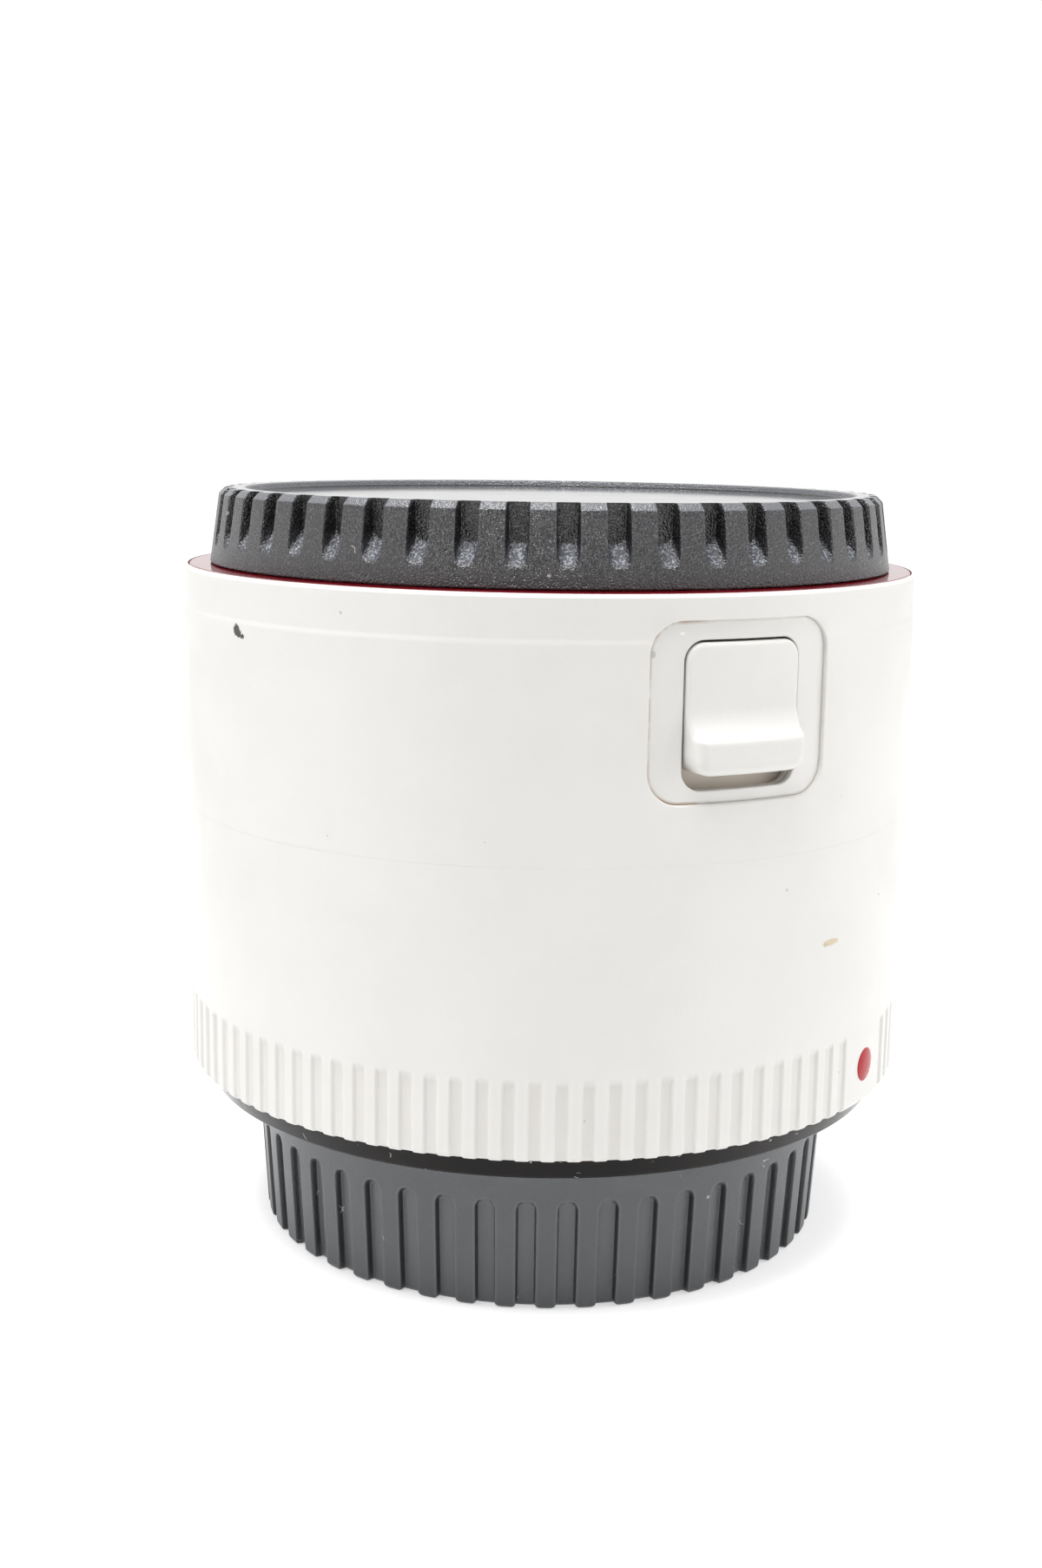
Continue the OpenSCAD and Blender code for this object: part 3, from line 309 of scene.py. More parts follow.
def make_rear_cap(material):
    """Rear cap: a cup turned round the axis, with 48 round-topped grooves and three lugs inside its mouth.

    Inside a groove's outline, a strip that ends in a half circle and flares at its foot, the radius drops by
    the groove's depth with a smooth ramp across the outline's signed distance.
    """
    slope = (CUP_R - BASE_R) / (CUP_H - BASE_ROUND)
    levels = np.r_[0.7, 1.0, 4.5, 8.5, np.linspace(9.0, 11.0, 22), 11.5, 13.0, 14.2]
    corners = [(0, 0, 0), (10, 0, 0), (20, 0, 0), (BASE_R - BASE_ROUND, 0, 0.15), (BASE_R, BASE_ROUND, 0.2)]
    corners += [(BASE_R + slope * (z - BASE_ROUND), z, 0) for z in levels]
    corners += [(CUP_R, CUP_H, 0.22), (CUP_IN, CUP_H, 0.1), (CUP_IN, MOUTH_LOW, 0), (CUP_IN, MOUTH_LOW - 0.2, 0),
                (CUP_IN, WELL_Z, 0.15), (WELL_R, WELL_Z, 0.15), (WELL_R, WELL_FLOOR, 0.4), (14, WELL_FLOOR, 0),
                (0, WELL_FLOOR, 0)]
    profile = rounded_profile(corners)
    sides = np.array([-0.2, -0.13, -0.08, -0.03, 0.03, 0.08, 0.14])
    between = [-1.55, -1.32, -1.2, -1.1, -0.4, 0, 0.4, 1.1, 1.2, 1.32, 1.55, 1.88]
    plain = [-1.55, -0.845, 0, 0.675, 1.2, 1.88]
    fine = (profile[:, 0] > 27.4) & (profile[:, 1] < 11.6)
    radius, azimuth, level = turned_grid(profile, fine, GROOVES, sides, between, plain, GROOVE_R, LUG_EDGES)
    mouth = (radius > 27.2) & (radius < 27.6) & (level > MOUTH_LOW - 0.1)
    radius -= MOUTH_REACH * mouth * lug_reach(azimuth)
    off, half = off_feature(radius, azimuth, GROOVES)
    inside = half + quarter_drop(GROOVE_FOOT, level) - np.hypot(off, np.maximum(level - GROOVE_TOP + half, 0))
    outer = (radius > 27.4) & (level < 12)
    hollow = outer * smooth_step((inside + 0.08) / 0.2)
    # Painted shade: the groove walls are made nearly black
    walls = smooth_step(hollow / 0.15) * smooth_step((1 - hollow) / 0.2)
    # Fields for the material: painted shade on the groove walls, painted light that lifts the groove floors out of
    # their shade, and a paler band on the lands beside the grooves
    piece("rear_cap_cup", on_axis(radius - GROOVE_DEPTH * hollow, azimuth, level), grid_faces(*azimuth.shape),
          "rear_cap", "rear_cap_plastic", material, ("rear_cap",), True,
          shade=walls, floor=smooth_step((hollow - 0.85) / 0.15), rim=outer * np.exp(-((inside + 0.12) / 0.12) ** 2))


def make_rear_barrel(material):
    """Rear shell: a tube with a spigot, turned round the axis, with 98 straight grooves at its rear edge.

    The radius drops by the groove's depth where the distance from the groove's middle is under half its width
    and the level is under the band's top, except beside the index dot.
    """
    levels = np.r_[np.linspace(18.0, 23.2, 7), np.linspace(23.5, 24.9, 16), np.linspace(25.3, 42.6, 12)]
    corners = [(BARREL_IN, BODY_Z, 0.1), (REAR_EDGE_R, BODY_Z, 0.1), (BARREL_R, REAR_EDGE_Z, 0.16)]
    corners += [(BARREL_R, z, 0) for z in levels]
    corners += [(BARREL_R, SEAM_Z, 0.014), (SPIGOT_R, SEAM_Z, 0.1), (SPIGOT_R, SPIGOT_Z, 0.15),
                (BARREL_IN, SPIGOT_Z, 0.15), (BARREL_IN, 30, 0)]
    profile = rounded_profile(corners)
    sides = np.array([-0.2, -0.13, -0.07, -0.02, 0.03, 0.08, 0.14, 0.22])
    between, plain = [-0.95, -0.15, 0.15, 0.95, 1.17], [-0.705, -0.15, 0.445, 1.17]
    fine = (profile[:, 0] > 35.3) & (profile[:, 1] < 25.0)
    radius, azimuth, level = turned_grid(profile, fine, RIBS, sides, between, plain, BARREL_R)
    off, half = off_feature(radius, azimuth, RIBS)
    groove = azimuth - from_nearest(azimuth, RIBS[1], RIBS[0])
    beside_dot = np.abs((groove - DOT_AZIMUTH + 180) % 360 - 180) < PAD_ANGLE / 2
    ribbed = (radius > 35.4) & ~beside_dot
    hollow = ribbed * smooth_step((half + 0.13 - off) / 0.3) * smooth_step((RIB_TOP + 0.1 - level) / 0.9)
    # Fields for the paint: hollow also lays painted shade in the grooves, and rim a painted highlight on the lands
    # beside them
    rim = ribbed * (level < RIB_TOP) * np.exp(-((off - half - 0.2) / 0.16) ** 2)
    piece("rear_barrel_shell", on_axis(radius - RIB_DEPTH * hollow, azimuth, level),
          grid_faces(*azimuth.shape, wrap_rows=True), "converter", "white_paint", material, ("rear_barrel",), True,
          hollow=hollow, rim=rim)


def make_front_barrel(material):
    """Front shell: a turned tube with a block of its grid left open for the release window.

    The open block's edge outside is joined to the one inside by rings of points. Each ring follows the rays
    from the window's middle to the plate's pocket or to the window, at the radius of that part of the wall.
    """
    margin, open_columns = CLEARANCE + 0.24, 61
    low, high = PLATE[3] - PLATE[1] / 2 - margin, PLATE[3] + PLATE[1] / 2 + margin
    rows = np.r_[np.linspace(low, 50.6, 12), np.linspace(51, 61.6, 22), 61.9, STEP_LOW, 62.25, STEP_HIGH,
                 np.linspace(62.5, high, 8)]
    shell_r = lambda z: np.interp(z, [STEP_LOW, STEP_HIGH], [BARREL_R, BAND_R])
    corners = [(SOCKET_R, FRONT_SHELL_Z, 0.05), (BARREL_R, FRONT_SHELL_Z, 0.014), (BARREL_R, 45, 0), (BARREL_R, 47, 0)]
    corners += [(shell_r(z), z, 0) for z in rows]
    corners += [(BAND_R, BAND_TOP, 0.08), (LIP_R, FRONT_FACE, 0.06), (LIP_R, RED_Z, 0.05), (LIP_IN, RED_Z, 0.05),
                (LIP_IN, LIP_Z, 0.05), (BARREL_IN, LIP_Z, 0.02)]
    corners += [(BARREL_IN, z, 0) for z in rows[::-1]]
    corners += [(BARREL_IN, SOCKET_Z, 0.05), (SOCKET_R, SOCKET_Z, 0.05)]
    profile = rounded_profile(corners)
    half_turn = np.degrees(np.arcsin((PLATE[0] / 2 + margin) / BARREL_R))
    wave = np.sin(np.linspace(-np.pi / 2, np.pi / 2, open_columns))
    rest = np.linspace(LEVER_AZIMUTH + half_turn, LEVER_AZIMUTH + 360 - half_turn, 230)[1:-1]
    azimuth = np.r_[LEVER_AZIMUTH + half_turn * wave, rest]
    main = on_axis(profile[:, :1], azimuth[None], profile[:, 1:])
    faces = grid_faces(len(profile), len(azimuth), wrap_rows=True).reshape(len(profile), len(azimuth), 4)
    beside_window = (profile[:, 1] > low - 1e-6) & (profile[:, 1] < high + 1e-6)
    outside = np.where(beside_window & (profile[:, 0] > 35))[0]
    inside = np.where(beside_window & (profile[:, 0] < 34))[0][::-1]
    open_faces = np.zeros(faces.shape[:2], bool)
    open_faces[outside[:-1, None], np.arange(open_columns - 1)] = True
    open_faces[inside[1:, None], np.arange(open_columns - 1)] = True
    walk_row, walk_column = walk_round(len(outside), open_columns)
    dx = BARREL_R * np.sin(np.radians(azimuth[walk_column] - LEVER_AZIMUTH))
    dz = profile[outside[walk_row], 1] - WINDOW[3]
    rings = []
    for grow, sink in ((0.14, 0.0), (0.08, 0.02), (0.03, 0.07), (0, 0.16)):
        x, z = edge_along(PLATE, CLEARANCE + grow, dx, dz)
        rings.append(beside(shell_r(z) - sink, x, z))
    rings.append(beside(POCKET_R, x, z))
    x, z = edge_along(WINDOW, CLEARANCE, dx, dz)
    rings += [beside(POCKET_R, x, z), beside(BARREL_IN, x, z)]
    count, start = len(walk_row), main[..., 0].size
    numbers = [outside[walk_row] * len(azimuth) + walk_column]
    numbers += [start + k * count + np.arange(count) for k in range(len(rings))]
    numbers += [inside[walk_row] * len(azimuth) + walk_column]
    nearer, further = np.array(numbers[:-1]), np.array(numbers[1:])
    patch = np.stack([nearer, np.roll(nearer, -1, 1), np.roll(further, -1, 1), further], -1)
    points = np.concatenate([main.reshape(-1, 3)] + rings)
    piece("front_barrel_shell", points, np.concatenate([faces[~open_faces], patch.reshape(-1, 4)]), "converter",
          "white_paint", material, ("front_barrel",))


def make_window_plate(material):
    """Inlaid plate: rings that follow rays from the window's middle, from the plate's edge to the window's edge.

    The rings run up the outer edge, over its rounding, across the curved face and down the window's wall.
    """
    around = np.linspace(0, 2 * np.pi, 280, endpoint=False)
    dx, dz = [np.sign(wave) * np.abs(wave) ** 0.7 for wave in (np.cos(around), np.sin(around))]
    plate_edge = [(0.08, PLATE_BACK), (0.08, PLATE_R - 0.06), (0.06, PLATE_R - 0.03), (0.01, PLATE_R - 0.006)]
    window_edge = [(0.05, PLATE_R - 0.02), (0.015, PLATE_R - 0.06), (0, PLATE_R - 0.14), (0, PLATE_BACK)]
    outer, inner = edge_along(PLATE, -0.14, dx, dz), edge_along(WINDOW, 0.12, dx, dz)
    path = [(edge_along(PLATE, grow, dx, dz), r) for grow, r in plate_edge]
    path += [(outer + share * (inner - outer), PLATE_R) for share in (0, 0.06, 0.3, 0.6, 0.94, 1)]
    path += [(edge_along(WINDOW, grow, dx, dz), r) for grow, r in window_edge]
    points = np.stack([beside(r, x, z) for (x, z), r in path])
    sunk = np.array([1.0, 1.0, 1.0, 0.8, 0.3] + [0.0] * (len(path) - 5))
    grime = sunk[:, None] * (0.08 + 0.92 * smooth_step((-dx - 0.3) / 0.4))
    piece("window_plate_inlay", points, grid_faces(len(path), len(around), wrap_rows=True), "converter",
          "white_paint", material, ("window_plate",), grime=grime)


def make_release_lever(material):
    """Thumb lever: a face whose radius follows a section of ledge, hollow slope and flush pad, and a flat back.

    The face's width at each level is that of a rounded rectangle, and a quarter circle drops it at its edge.
    """
    from_low = np.array([0, 0.02, 0.05, 0.1, 0.17, 0.26, 0.38, 0.52, 0.7, 0.9, 1.15, 1.5, 1.9, 2.4])
    from_top = np.array([0.7, 0.5, 0.35, 0.25, 0.15, 0.08, 0.03, 0])
    from_ledge = np.r_[np.linspace(-0.8, 0.1, 14), np.linspace(0.2, 2.4, 22), np.linspace(2.8, 6.7, 8)]
    levels = np.r_[LEVER_LOW + from_low, LEDGE_TOP + from_ledge, LEVER_TOP - from_top]
    hollow = BARREL_R + HOLLOW_R - np.sqrt(HOLLOW_R ** 2 - np.clip(HOLLOW_TOP - levels, 0, HOLLOW_R) ** 2)
    over = np.clip(levels - LEDGE_TOP + LEDGE_ROUND, 0, LEDGE_ROUND)
    brow = LEDGE_R - LEDGE_ROUND + np.sqrt(np.maximum(LEDGE_ROUND ** 2 - over ** 2, 0))
    section = np.where(levels < LEDGE_TOP, brow, np.minimum(LEDGE_R - LEDGE_ROUND, hollow))
    section = np.maximum(section, BARREL_R)
    section = np.mean([np.interp(levels + k, levels, section) for k in np.linspace(-0.22, 0.22, 9)], 0)
    inset = quarter_drop(LEVER_CORNER, np.minimum(levels - LEVER_LOW, LEVER_TOP - levels))
    share = np.sin(np.linspace(-np.pi / 2, np.pi / 2, 65))
    x = (LEVER_W / 2 - inset)[:, None] * share
    z = levels[:, None] + 0 * x
    middle = (LEVER_LOW + LEVER_TOP) / 2
    edge = np.maximum(-round_rect(LEVER_W, LEVER_TOP - LEVER_LOW, LEVER_CORNER, x, z - middle), 0)
    soft = 0.4 + 0.6 * smooth_step((LEDGE_TOP + 1.0 - z) / 1.6)
    face = beside(section[:, None] - quarter_drop(soft, edge), x, z)
    back = beside(np.full_like(x, LEVER_BACK), x, z)
    front_faces = grid_faces(*x.shape, wrap_columns=False)
    i, j = walk_round(*x.shape)
    loop = i * len(share) + j
    wall = np.stack([loop + x.size, np.roll(loop, -1) + x.size, np.roll(loop, -1), loop], -1)
    faces = np.concatenate([front_faces, (front_faces + x.size)[:, ::-1], wall])
    piece("release_lever_thumb", np.stack([face, back]), faces, "release", "white_paint", material,
          ("release_lever",))


def make_lever_skirt(material):
    """Skirt round the lever's foot: a thin closed profile carried round the axis, shrunk to a point at each end."""
    profile = rounded_profile([(SKIRT_BACK, SKIRT_LOW, 0.03), (SKIRT_R, SKIRT_LOW, 0.08), (SKIRT_R, LEDGE_TOP, 0.08),
                               (SKIRT_BACK, LEDGE_TOP, 0.03)])
    across = np.linspace(-SKIRT_W / 2, SKIRT_W / 2, 33)
    azimuth = LEVER_AZIMUTH + np.degrees(np.arcsin(np.pad(across, 1, "edge") / SKIRT_R))
    share = np.pad(np.ones_like(across), 1)[None, :, None]
    section = profile.mean(0) + share * (profile - profile.mean(0))[:, None]
    faces = grid_faces(len(profile), len(azimuth), wrap_rows=True, wrap_columns=False)
    piece("release_lever_skirt", on_axis(section[..., 0], azimuth[None], section[..., 1]), faces, "release",
          "carriage_paint", material, (), True)


def make_index_dot(material):
    """Index dot: a disc in its pocket whose crown rises as 1 - (distance / radius)^2.6 above its edge."""
    share = np.r_[0, np.linspace(0.1, 0.9, 9), 0.95, 0.98, 1.0, 1.0, 0][:, None]
    around = np.linspace(0, 2 * np.pi, 64, endpoint=False)[None]
    lift = BARREL_R + DOT_CROWN * (1 - share ** 2.6)
    lift[-2:] = DOT_FOOT
    a = np.radians(DOT_AZIMUTH)
    x, z = DOT_R * share * np.cos(around), DOT_Z + DOT_R * share * np.sin(around)
    points = MM * np.stack([lift * np.sin(a) + x * np.cos(a), -lift * np.cos(a) + x * np.sin(a), z], -1)
    faces = grid_faces(len(share), around.size)[:, ::-1]
    piece("index_dot_crown", points, faces, "converter", "red_gloss", material, ("index_dot",), True)


# Shader groups and materials

def wire(tree, kind, values=(), operation=None, **settings):
    """New node of a kind, with plain values set and sockets linked by input name or number."""
    made = tree.nodes.new(kind)
    if operation:
        made.operation = operation
    for label, value in settings.items():
        setattr(made, label, value)
    for label, value in dict(values).items():
        if isinstance(value, bpy.types.NodeSocket):
            tree.links.new(value, made.inputs[label])
        else:
            made.inputs[label].default_value = value
    return made


def maths(tree, operation, a, b=0.0, clamp=False):
    """Result of one operation on two numbers."""
    return wire(tree, "ShaderNodeMath", {0: a, 1: b}, operation, use_clamp=clamp).outputs[0]


def vectors(tree, operation, a, b=(0.0, 0.0, 0.0)):
    """Result of one operation on two vectors: a number for a length, and else a vector."""
    made = wire(tree, "ShaderNodeVectorMath", {0: a, 1: b}, operation)
    return made.outputs["Value" if operation == "LENGTH" else "Vector"]


def ramp(tree, value, low, high, out_low=0.0, out_high=1.0):
    """Value mapped smoothly from one range to another and held at its ends."""
    made = wire(tree, "ShaderNodeMapRange", {"Value": value, "From Min": low, "From Max": high, "To Min": out_low,
                                             "To Max": out_high}, interpolation_type="SMOOTHSTEP")
    return made.outputs["Result"]


def place(tree):
    """Place of the shaded point on its object, in metres."""
    return tree.nodes.new("ShaderNodeTexCoord").outputs["Object"]


def split(tree, vector):
    """The three parts of a vector."""
    return wire(tree, "ShaderNodeSeparateXYZ", {0: vector}).outputs


def noise(tree, scale, detail=3.0, roughness=0.5, at=None):
    """Fractal noise from 0 to 1, at the shaded point unless another place is given."""
    return wire(tree, "ShaderNodeTexNoise", {"Vector": at or place(tree), "Scale": scale, "Detail": detail,
                                             "Roughness": roughness}).outputs["Fac"]


def some_cells(tree, given):
    """Cells round scattered points: the distance from the point, a random number and a mask of a share of them."""
    cells = wire(tree, "ShaderNodeTexVoronoi", {"Vector": place(tree), "Scale": given["Cells"]}, feature="F1")
    pick = wire(tree, "ShaderNodeSeparateColor", {"Color": cells.outputs["Color"]}).outputs
    return cells.outputs["Distance"], pick[1], maths(tree, "LESS_THAN", pick[0], given["Share"])


def round_axis(tree, along):
    """Place as the distance from the optical axis and a share of the level, so that textures on it run in rings."""
    x, y, z = split(tree, place(tree))
    flat = wire(tree, "ShaderNodeCombineXYZ", {0: x, 1: y, 2: 0.0}).outputs[0]
    level = maths(tree, "MULTIPLY", z, along)
    return wire(tree, "ShaderNodeCombineXYZ", {0: vectors(tree, "LENGTH", flat), 1: level, 2: 0.0}).outputs[0]


def make_group(name, build, **inputs):
    """New shader node group: its inputs have the values given by default, and its outputs are numbers from build."""
    tree = bpy.data.node_groups.new(name, "ShaderNodeTree")
    for label, value in inputs.items():
        kind = "NodeSocketVector" if isinstance(value, tuple) else "NodeSocketFloat"
        tree.interface.new_socket(label, in_out="INPUT", socket_type=kind).default_value = value
    outputs = build(tree, tree.nodes.new("NodeGroupInput").outputs)
    for label in outputs:
        tree.interface.new_socket(label, in_out="OUTPUT", socket_type="NodeSocketFloat")
    wire(tree, "NodeGroupOutput", outputs)
    return tree


def build_grain(tree, given):
    """Fine surface grain: two noises, a fine one for the height and a broad one for slow changes of tone."""
    return {"Height": noise(tree, given["Fine"], 2.0), "Tone": noise(tree, given["Broad"], 4.0, 0.6)}


def build_pebble(tree, given):
    """Moulded pebble texture: rounded cells, each higher in its middle, broken up by a little noise."""
    cells = wire(tree, "ShaderNodeTexVoronoi", {"Vector": place(tree), "Scale": given["Cells"], "Smoothness": 0.6,
                                                "Randomness": 1.0}, feature="SMOOTH_F1")
    height = maths(tree, "SUBTRACT", 1.0, cells.outputs["Distance"])
    return {"Height": maths(tree, "ADD", height, maths(tree, "MULTIPLY", noise(tree, 9000.0, 1.0), 0.25))}


def build_dust(tree, given):
    """Dust: a few small round specks, one in some of the cells, of random sizes."""
    distance, random, chosen = some_cells(tree, given)
    size = maths(tree, "MULTIPLY", given["Size"], maths(tree, "ADD", random, 0.25))
    inside = maths(tree, "SUBTRACT", size, distance)
    return {"Mask": maths(tree, "MULTIPLY", ramp(tree, inside, 0.0, 0.05), chosen)}


def build_lint(tree, given):
    """Lint: short bent fibres, the line where a noise passes its middle, kept near the centre of some cells."""
    distance, _, chosen = some_cells(tree, given)
    off = maths(tree, "ABSOLUTE", maths(tree, "SUBTRACT", noise(tree, 900.0, 0.0), 0.5))
    near = ramp(tree, maths(tree, "SUBTRACT", given["Length"], distance), 0.0, 0.04)
    return {"Mask": maths(tree, "MULTIPLY", maths(tree, "MULTIPLY", ramp(tree, off, 0.025, 0.008), near), chosen)}


def build_chip(tree, given):
    """Chip or stain: a blot round a point, whose edge a noise makes ragged."""
    away = vectors(tree, "SUBTRACT", place(tree), given["Centre"])
    far = vectors(tree, "LENGTH", vectors(tree, "MULTIPLY", away, given["Stretch"]))
    uneven = maths(tree, "SUBTRACT", noise(tree, 2600.0, 3.0, 0.7), 0.5)
    ragged = maths(tree, "MULTIPLY", uneven, maths(tree, "MULTIPLY", given["Size"], 1.2))
    close = maths(tree, "SUBTRACT", maths(tree, "ADD", given["Size"], ragged), far)
    return {"Mask": ramp(tree, maths(tree, "DIVIDE", close, given["Size"]), -0.1, 0.25)}


def build_turned(tree, given):
    """Lathe marks: a noise that changes only with the distance from the optical axis, or along it."""
    return {"Height": noise(tree, given["Fineness"], 2.0, 0.6, round_axis(tree, 1.0)),
            "Tone": noise(tree, 700.0, 3.0, 0.6)}


def build_scratches(tree, given):
    """Rubbed arcs: thin bright lines round the axis, kept only where a broad noise is high."""
    lines = ramp(tree, noise(tree, given["Fineness"], 1.0, 0.5, round_axis(tree, 0.1)), given["Share"], 0.8)
    return {"Mask": maths(tree, "MULTIPLY", lines, ramp(tree, noise(tree, 160.0, 2.0), 0.5, 0.62))}


ROUND = (1.0, 1.0, 1.0)
GRAIN = make_group("surface_grain", build_grain, Fine=4000.0, Broad=120.0)
PEBBLE = make_group("moulded_pebble", build_pebble, Cells=3600.0)
DUST = make_group("dust_specks", build_dust, Cells=900.0, Share=0.1, Size=0.16)
LINT = make_group("lint_fibres", build_lint, Cells=420.0, Share=0.2, Length=0.25)
CHIP = make_group("paint_chip", build_chip, Centre=(0.0, 0.0, 0.0), Size=0.0006, Stretch=ROUND)
TURNED = make_group("turned_marks", build_turned, Fineness=9000.0)
SCRATCHES = make_group("rubbed_arcs", build_scratches, Fineness=2500.0, Share=0.62)


def scaled(colour, share, lift=0.0):
    """Colour whose three parts are multiplied by a share, then lifted by an amount."""
    return tuple(c * share + lift for c in colour)


class Finish:
    """A material under construction: its tree, its Principled shader and helpers to colour and bump it."""

    def __init__(self, name, colour, roughness, metallic=0.0, **sockets):
        self.material = bpy.data.materials.new(name)
        self.material.use_nodes = True
        self.tree = self.material.node_tree
        self.shader = self.tree.nodes["Principled BSDF"]
        self.colour = (*colour, 1)
        sockets.update(Base_Color=self.colour, Roughness=roughness, Metallic=metallic)
        for label, value in sockets.items():
            self.shader.inputs[label.replace("_", " ")].default_value = value

    def use(self, tree, **values):
        """Places a shared group and sets its inputs."""
        return wire(self.tree, "ShaderNodeGroup", values, node_tree=tree).outputs

    def attribute(self, name):
        """Value that the mesh holds at its points under a name, 0 where it has none."""
        return wire(self.tree, "ShaderNodeAttribute", attribute_name=name).outputs["Fac"]

    def tint(self, mask, colour, strength=1.0):
        """Lays a colour over what is there, by a mask."""
        layers = {"Factor": maths(self.tree, "MULTIPLY", mask, strength, True), 6: self.colour, 7: (*colour, 1)}
        self.colour = wire(self.tree, "ShaderNodeMix", layers, data_type="RGBA").outputs[2]
        self.tree.links.new(self.colour, self.shader.inputs["Base Color"])

    def rough(self, value, low, high, out_low, out_high):
        """Takes the roughness from a value, mapped from one range to another."""
        self.tree.links.new(ramp(self.tree, value, low, high, out_low, out_high), self.shader.inputs["Roughness"])

    def bump(self, height, distance, strength=1.0):
        """Tilts the normal by a height, on top of any bump that is there."""
        made = wire(self.tree, "ShaderNodeBump", {"Height": height, "Distance": distance, "Strength": strength})
        if self.shader.inputs["Normal"].is_linked:
            self.tree.links.new(self.shader.inputs["Normal"].links[0].from_socket, made.inputs["Normal"])
        self.tree.links.new(made.outputs["Normal"], self.shader.inputs["Normal"])


OFF_WHITE = (0.805, 0.793, 0.768)


def white_paint(name, chips=(), grooves=False, grime=False, grain=5200.0, colour=OFF_WHITE, radius=BARREL_R):
    """Satin off-white paint with a fine spray grain, slow changes of tone, dust and a few chips; on the grooved shell
    also painted shade in the grooves and a painted highlight beside them.

    A chip is an azimuth, a level, a size, a stretch along x, y and z, a colour and a strength.
    """
    paint = Finish(name, colour, 0.4)
    texture = paint.use(GRAIN, Fine=grain, Broad=90.0)
    warmer = tuple(c * k for c, k in zip(colour, (0.955, 0.95, 0.94)))
    paint.tint(ramp(paint.tree, texture["Tone"], 0.35, 0.7), warmer, 0.5)
    if grooves:
        # Painted shade darkens the groove floors, and a painted highlight lightens the lands beside them
        paint.tint(paint.attribute("hollow"), (0.68, 0.65, 0.61), 0.35)
        paint.tint(paint.attribute("rim"), (0.84, 0.82, 0.79), 0.3)
    if grime:
        broken = ramp(paint.tree, paint.use(GRAIN, Broad=420.0)["Tone"], 0.36, 0.56)
        paint.tint(maths(paint.tree, "MULTIPLY", paint.attribute("grime"), broken), (0.36, 0.2, 0.08), 0.85)
    paint.tint(paint.use(DUST, Cells=800.0, Share=0.05, Size=0.12)["Mask"], (0.42, 0.38, 0.33), 0.55)
    for azimuth, level, size, stretch, blot_colour, strength in chips:
        centre = on_axis(radius, np.array(azimuth), np.array(level))
        blot = paint.use(CHIP, Centre=tuple(centre), Size=size * MM, Stretch=stretch)
        paint.tint(blot["Mask"], blot_colour, strength)
    paint.rough(texture["Tone"], 0.3, 0.7, 0.36, 0.47)
    paint.bump(texture["Height"], 0.00003, 0.35)
    return paint.material


def cap_plastic(name, colour, pebble, depth, roughness, dust, glint, lint, specular):
    """Moulded black plastic: pebbled skin with painted glints, paler along notch and groove edges, painted highlights
    on bevels and scoops, painted shade in the hollows, painted light on groove floors, and pale dust.
    """
    plastic = Finish(name, colour, roughness, Specular_IOR_Level=specular)
    tree = plastic.tree
    texture = plastic.use(PEBBLE, Cells=pebble)
    grain = plastic.use(GRAIN, Fine=7000.0, Broad=150.0)
    plastic.tint(ramp(tree, grain["Tone"], 0.4, 0.7), scaled(colour, 1.25), 0.6)
    # Painted light: groove floors made paler, against the shade that falls in them
    plastic.tint(plastic.attribute("floor"), scaled(colour, 1.5), 1.0)
    # Painted shade: walls of notches and grooves made darker
    plastic.tint(plastic.attribute("shade"), scaled(colour, 0.08), 0.95)
    # Painted highlight: the notches' sloping floors made lighter and bluer, as lit from above
    plastic.tint(plastic.attribute("scoop"), (0.04, 0.045, 0.055), 1.0)
    # Paler bands along the edges of the notches and grooves
    plastic.tint(plastic.attribute("rim"), scaled(colour, 1.6, 0.006), 0.55)
    # Painted highlight on the bevelled top edges
    plastic.tint(plastic.attribute("bevel"), (0.15, 0.155, 0.17), 0.85)
    # Painted glints: small pale specks over the pebbled skin
    painted_glints = ramp(tree, plastic.use(GRAIN, Fine=5600.0)["Height"], 0.55, 0.68)
    plastic.tint(painted_glints, (0.2, 0.205, 0.22), glint)
    # Painted glints: brighter specks on the notches' sloping floors
    painted_scoop_glints = ramp(tree, plastic.use(GRAIN, Fine=4200.0)["Height"], 0.5, 0.62)
    plastic.tint(maths(tree, "MULTIPLY", painted_scoop_glints, plastic.attribute("scoop")), (0.37, 0.39, 0.44), 0.8)
    plastic.tint(plastic.use(DUST, Cells=700.0, Share=dust, Size=0.13)["Mask"], (0.5, 0.48, 0.45), 0.7)
    plastic.tint(plastic.use(LINT, Share=lint)["Mask"], (0.55, 0.53, 0.5), 0.8)
    skin = maths(tree, "SUBTRACT", 1.0, plastic.attribute("polish"))
    base = ramp(tree, grain["Tone"], 0.3, 0.7, roughness - 0.05, roughness + 0.06)
    smoothed = maths(tree, "MULTIPLY", base, ramp(tree, skin, 0.0, 1.0, 0.25, 1.0))
    scoured = maths(tree, "MULTIPLY", plastic.attribute("scoop"), 0.3)
    tree.links.new(maths(tree, "ADD", smoothed, scoured), plastic.shader.inputs["Roughness"])
    plastic.bump(maths(tree, "MULTIPLY", texture["Height"], skin), depth, 0.9)
    return plastic.material


def gloss_black():
    """Polished black ring with a brown cast, fine wiping marks and lint."""
    gloss = Finish("seal_ring_gloss", (0.0035, 0.0026, 0.0024), 0.12, Specular_IOR_Level=0.09)
    grain = gloss.use(GRAIN, Fine=5000.0, Broad=260.0)
    gloss.tint(ramp(gloss.tree, grain["Tone"], 0.45, 0.75), (0.011, 0.006, 0.0045), 0.7)
    gloss.tint(gloss.use(DUST, Cells=1300.0, Share=0.05, Size=0.2)["Mask"], (0.5, 0.47, 0.45), 0.8)
    gloss.tint(gloss.use(LINT, Cells=600.0, Share=0.25)["Mask"], (0.6, 0.58, 0.56), 0.85)
    gloss.rough(grain["Tone"], 0.3, 0.75, 0.08, 0.22)
    gloss.bump(gloss.use(TURNED, Fineness=6000.0)["Height"], 0.00001, 0.25)
    return gloss.material


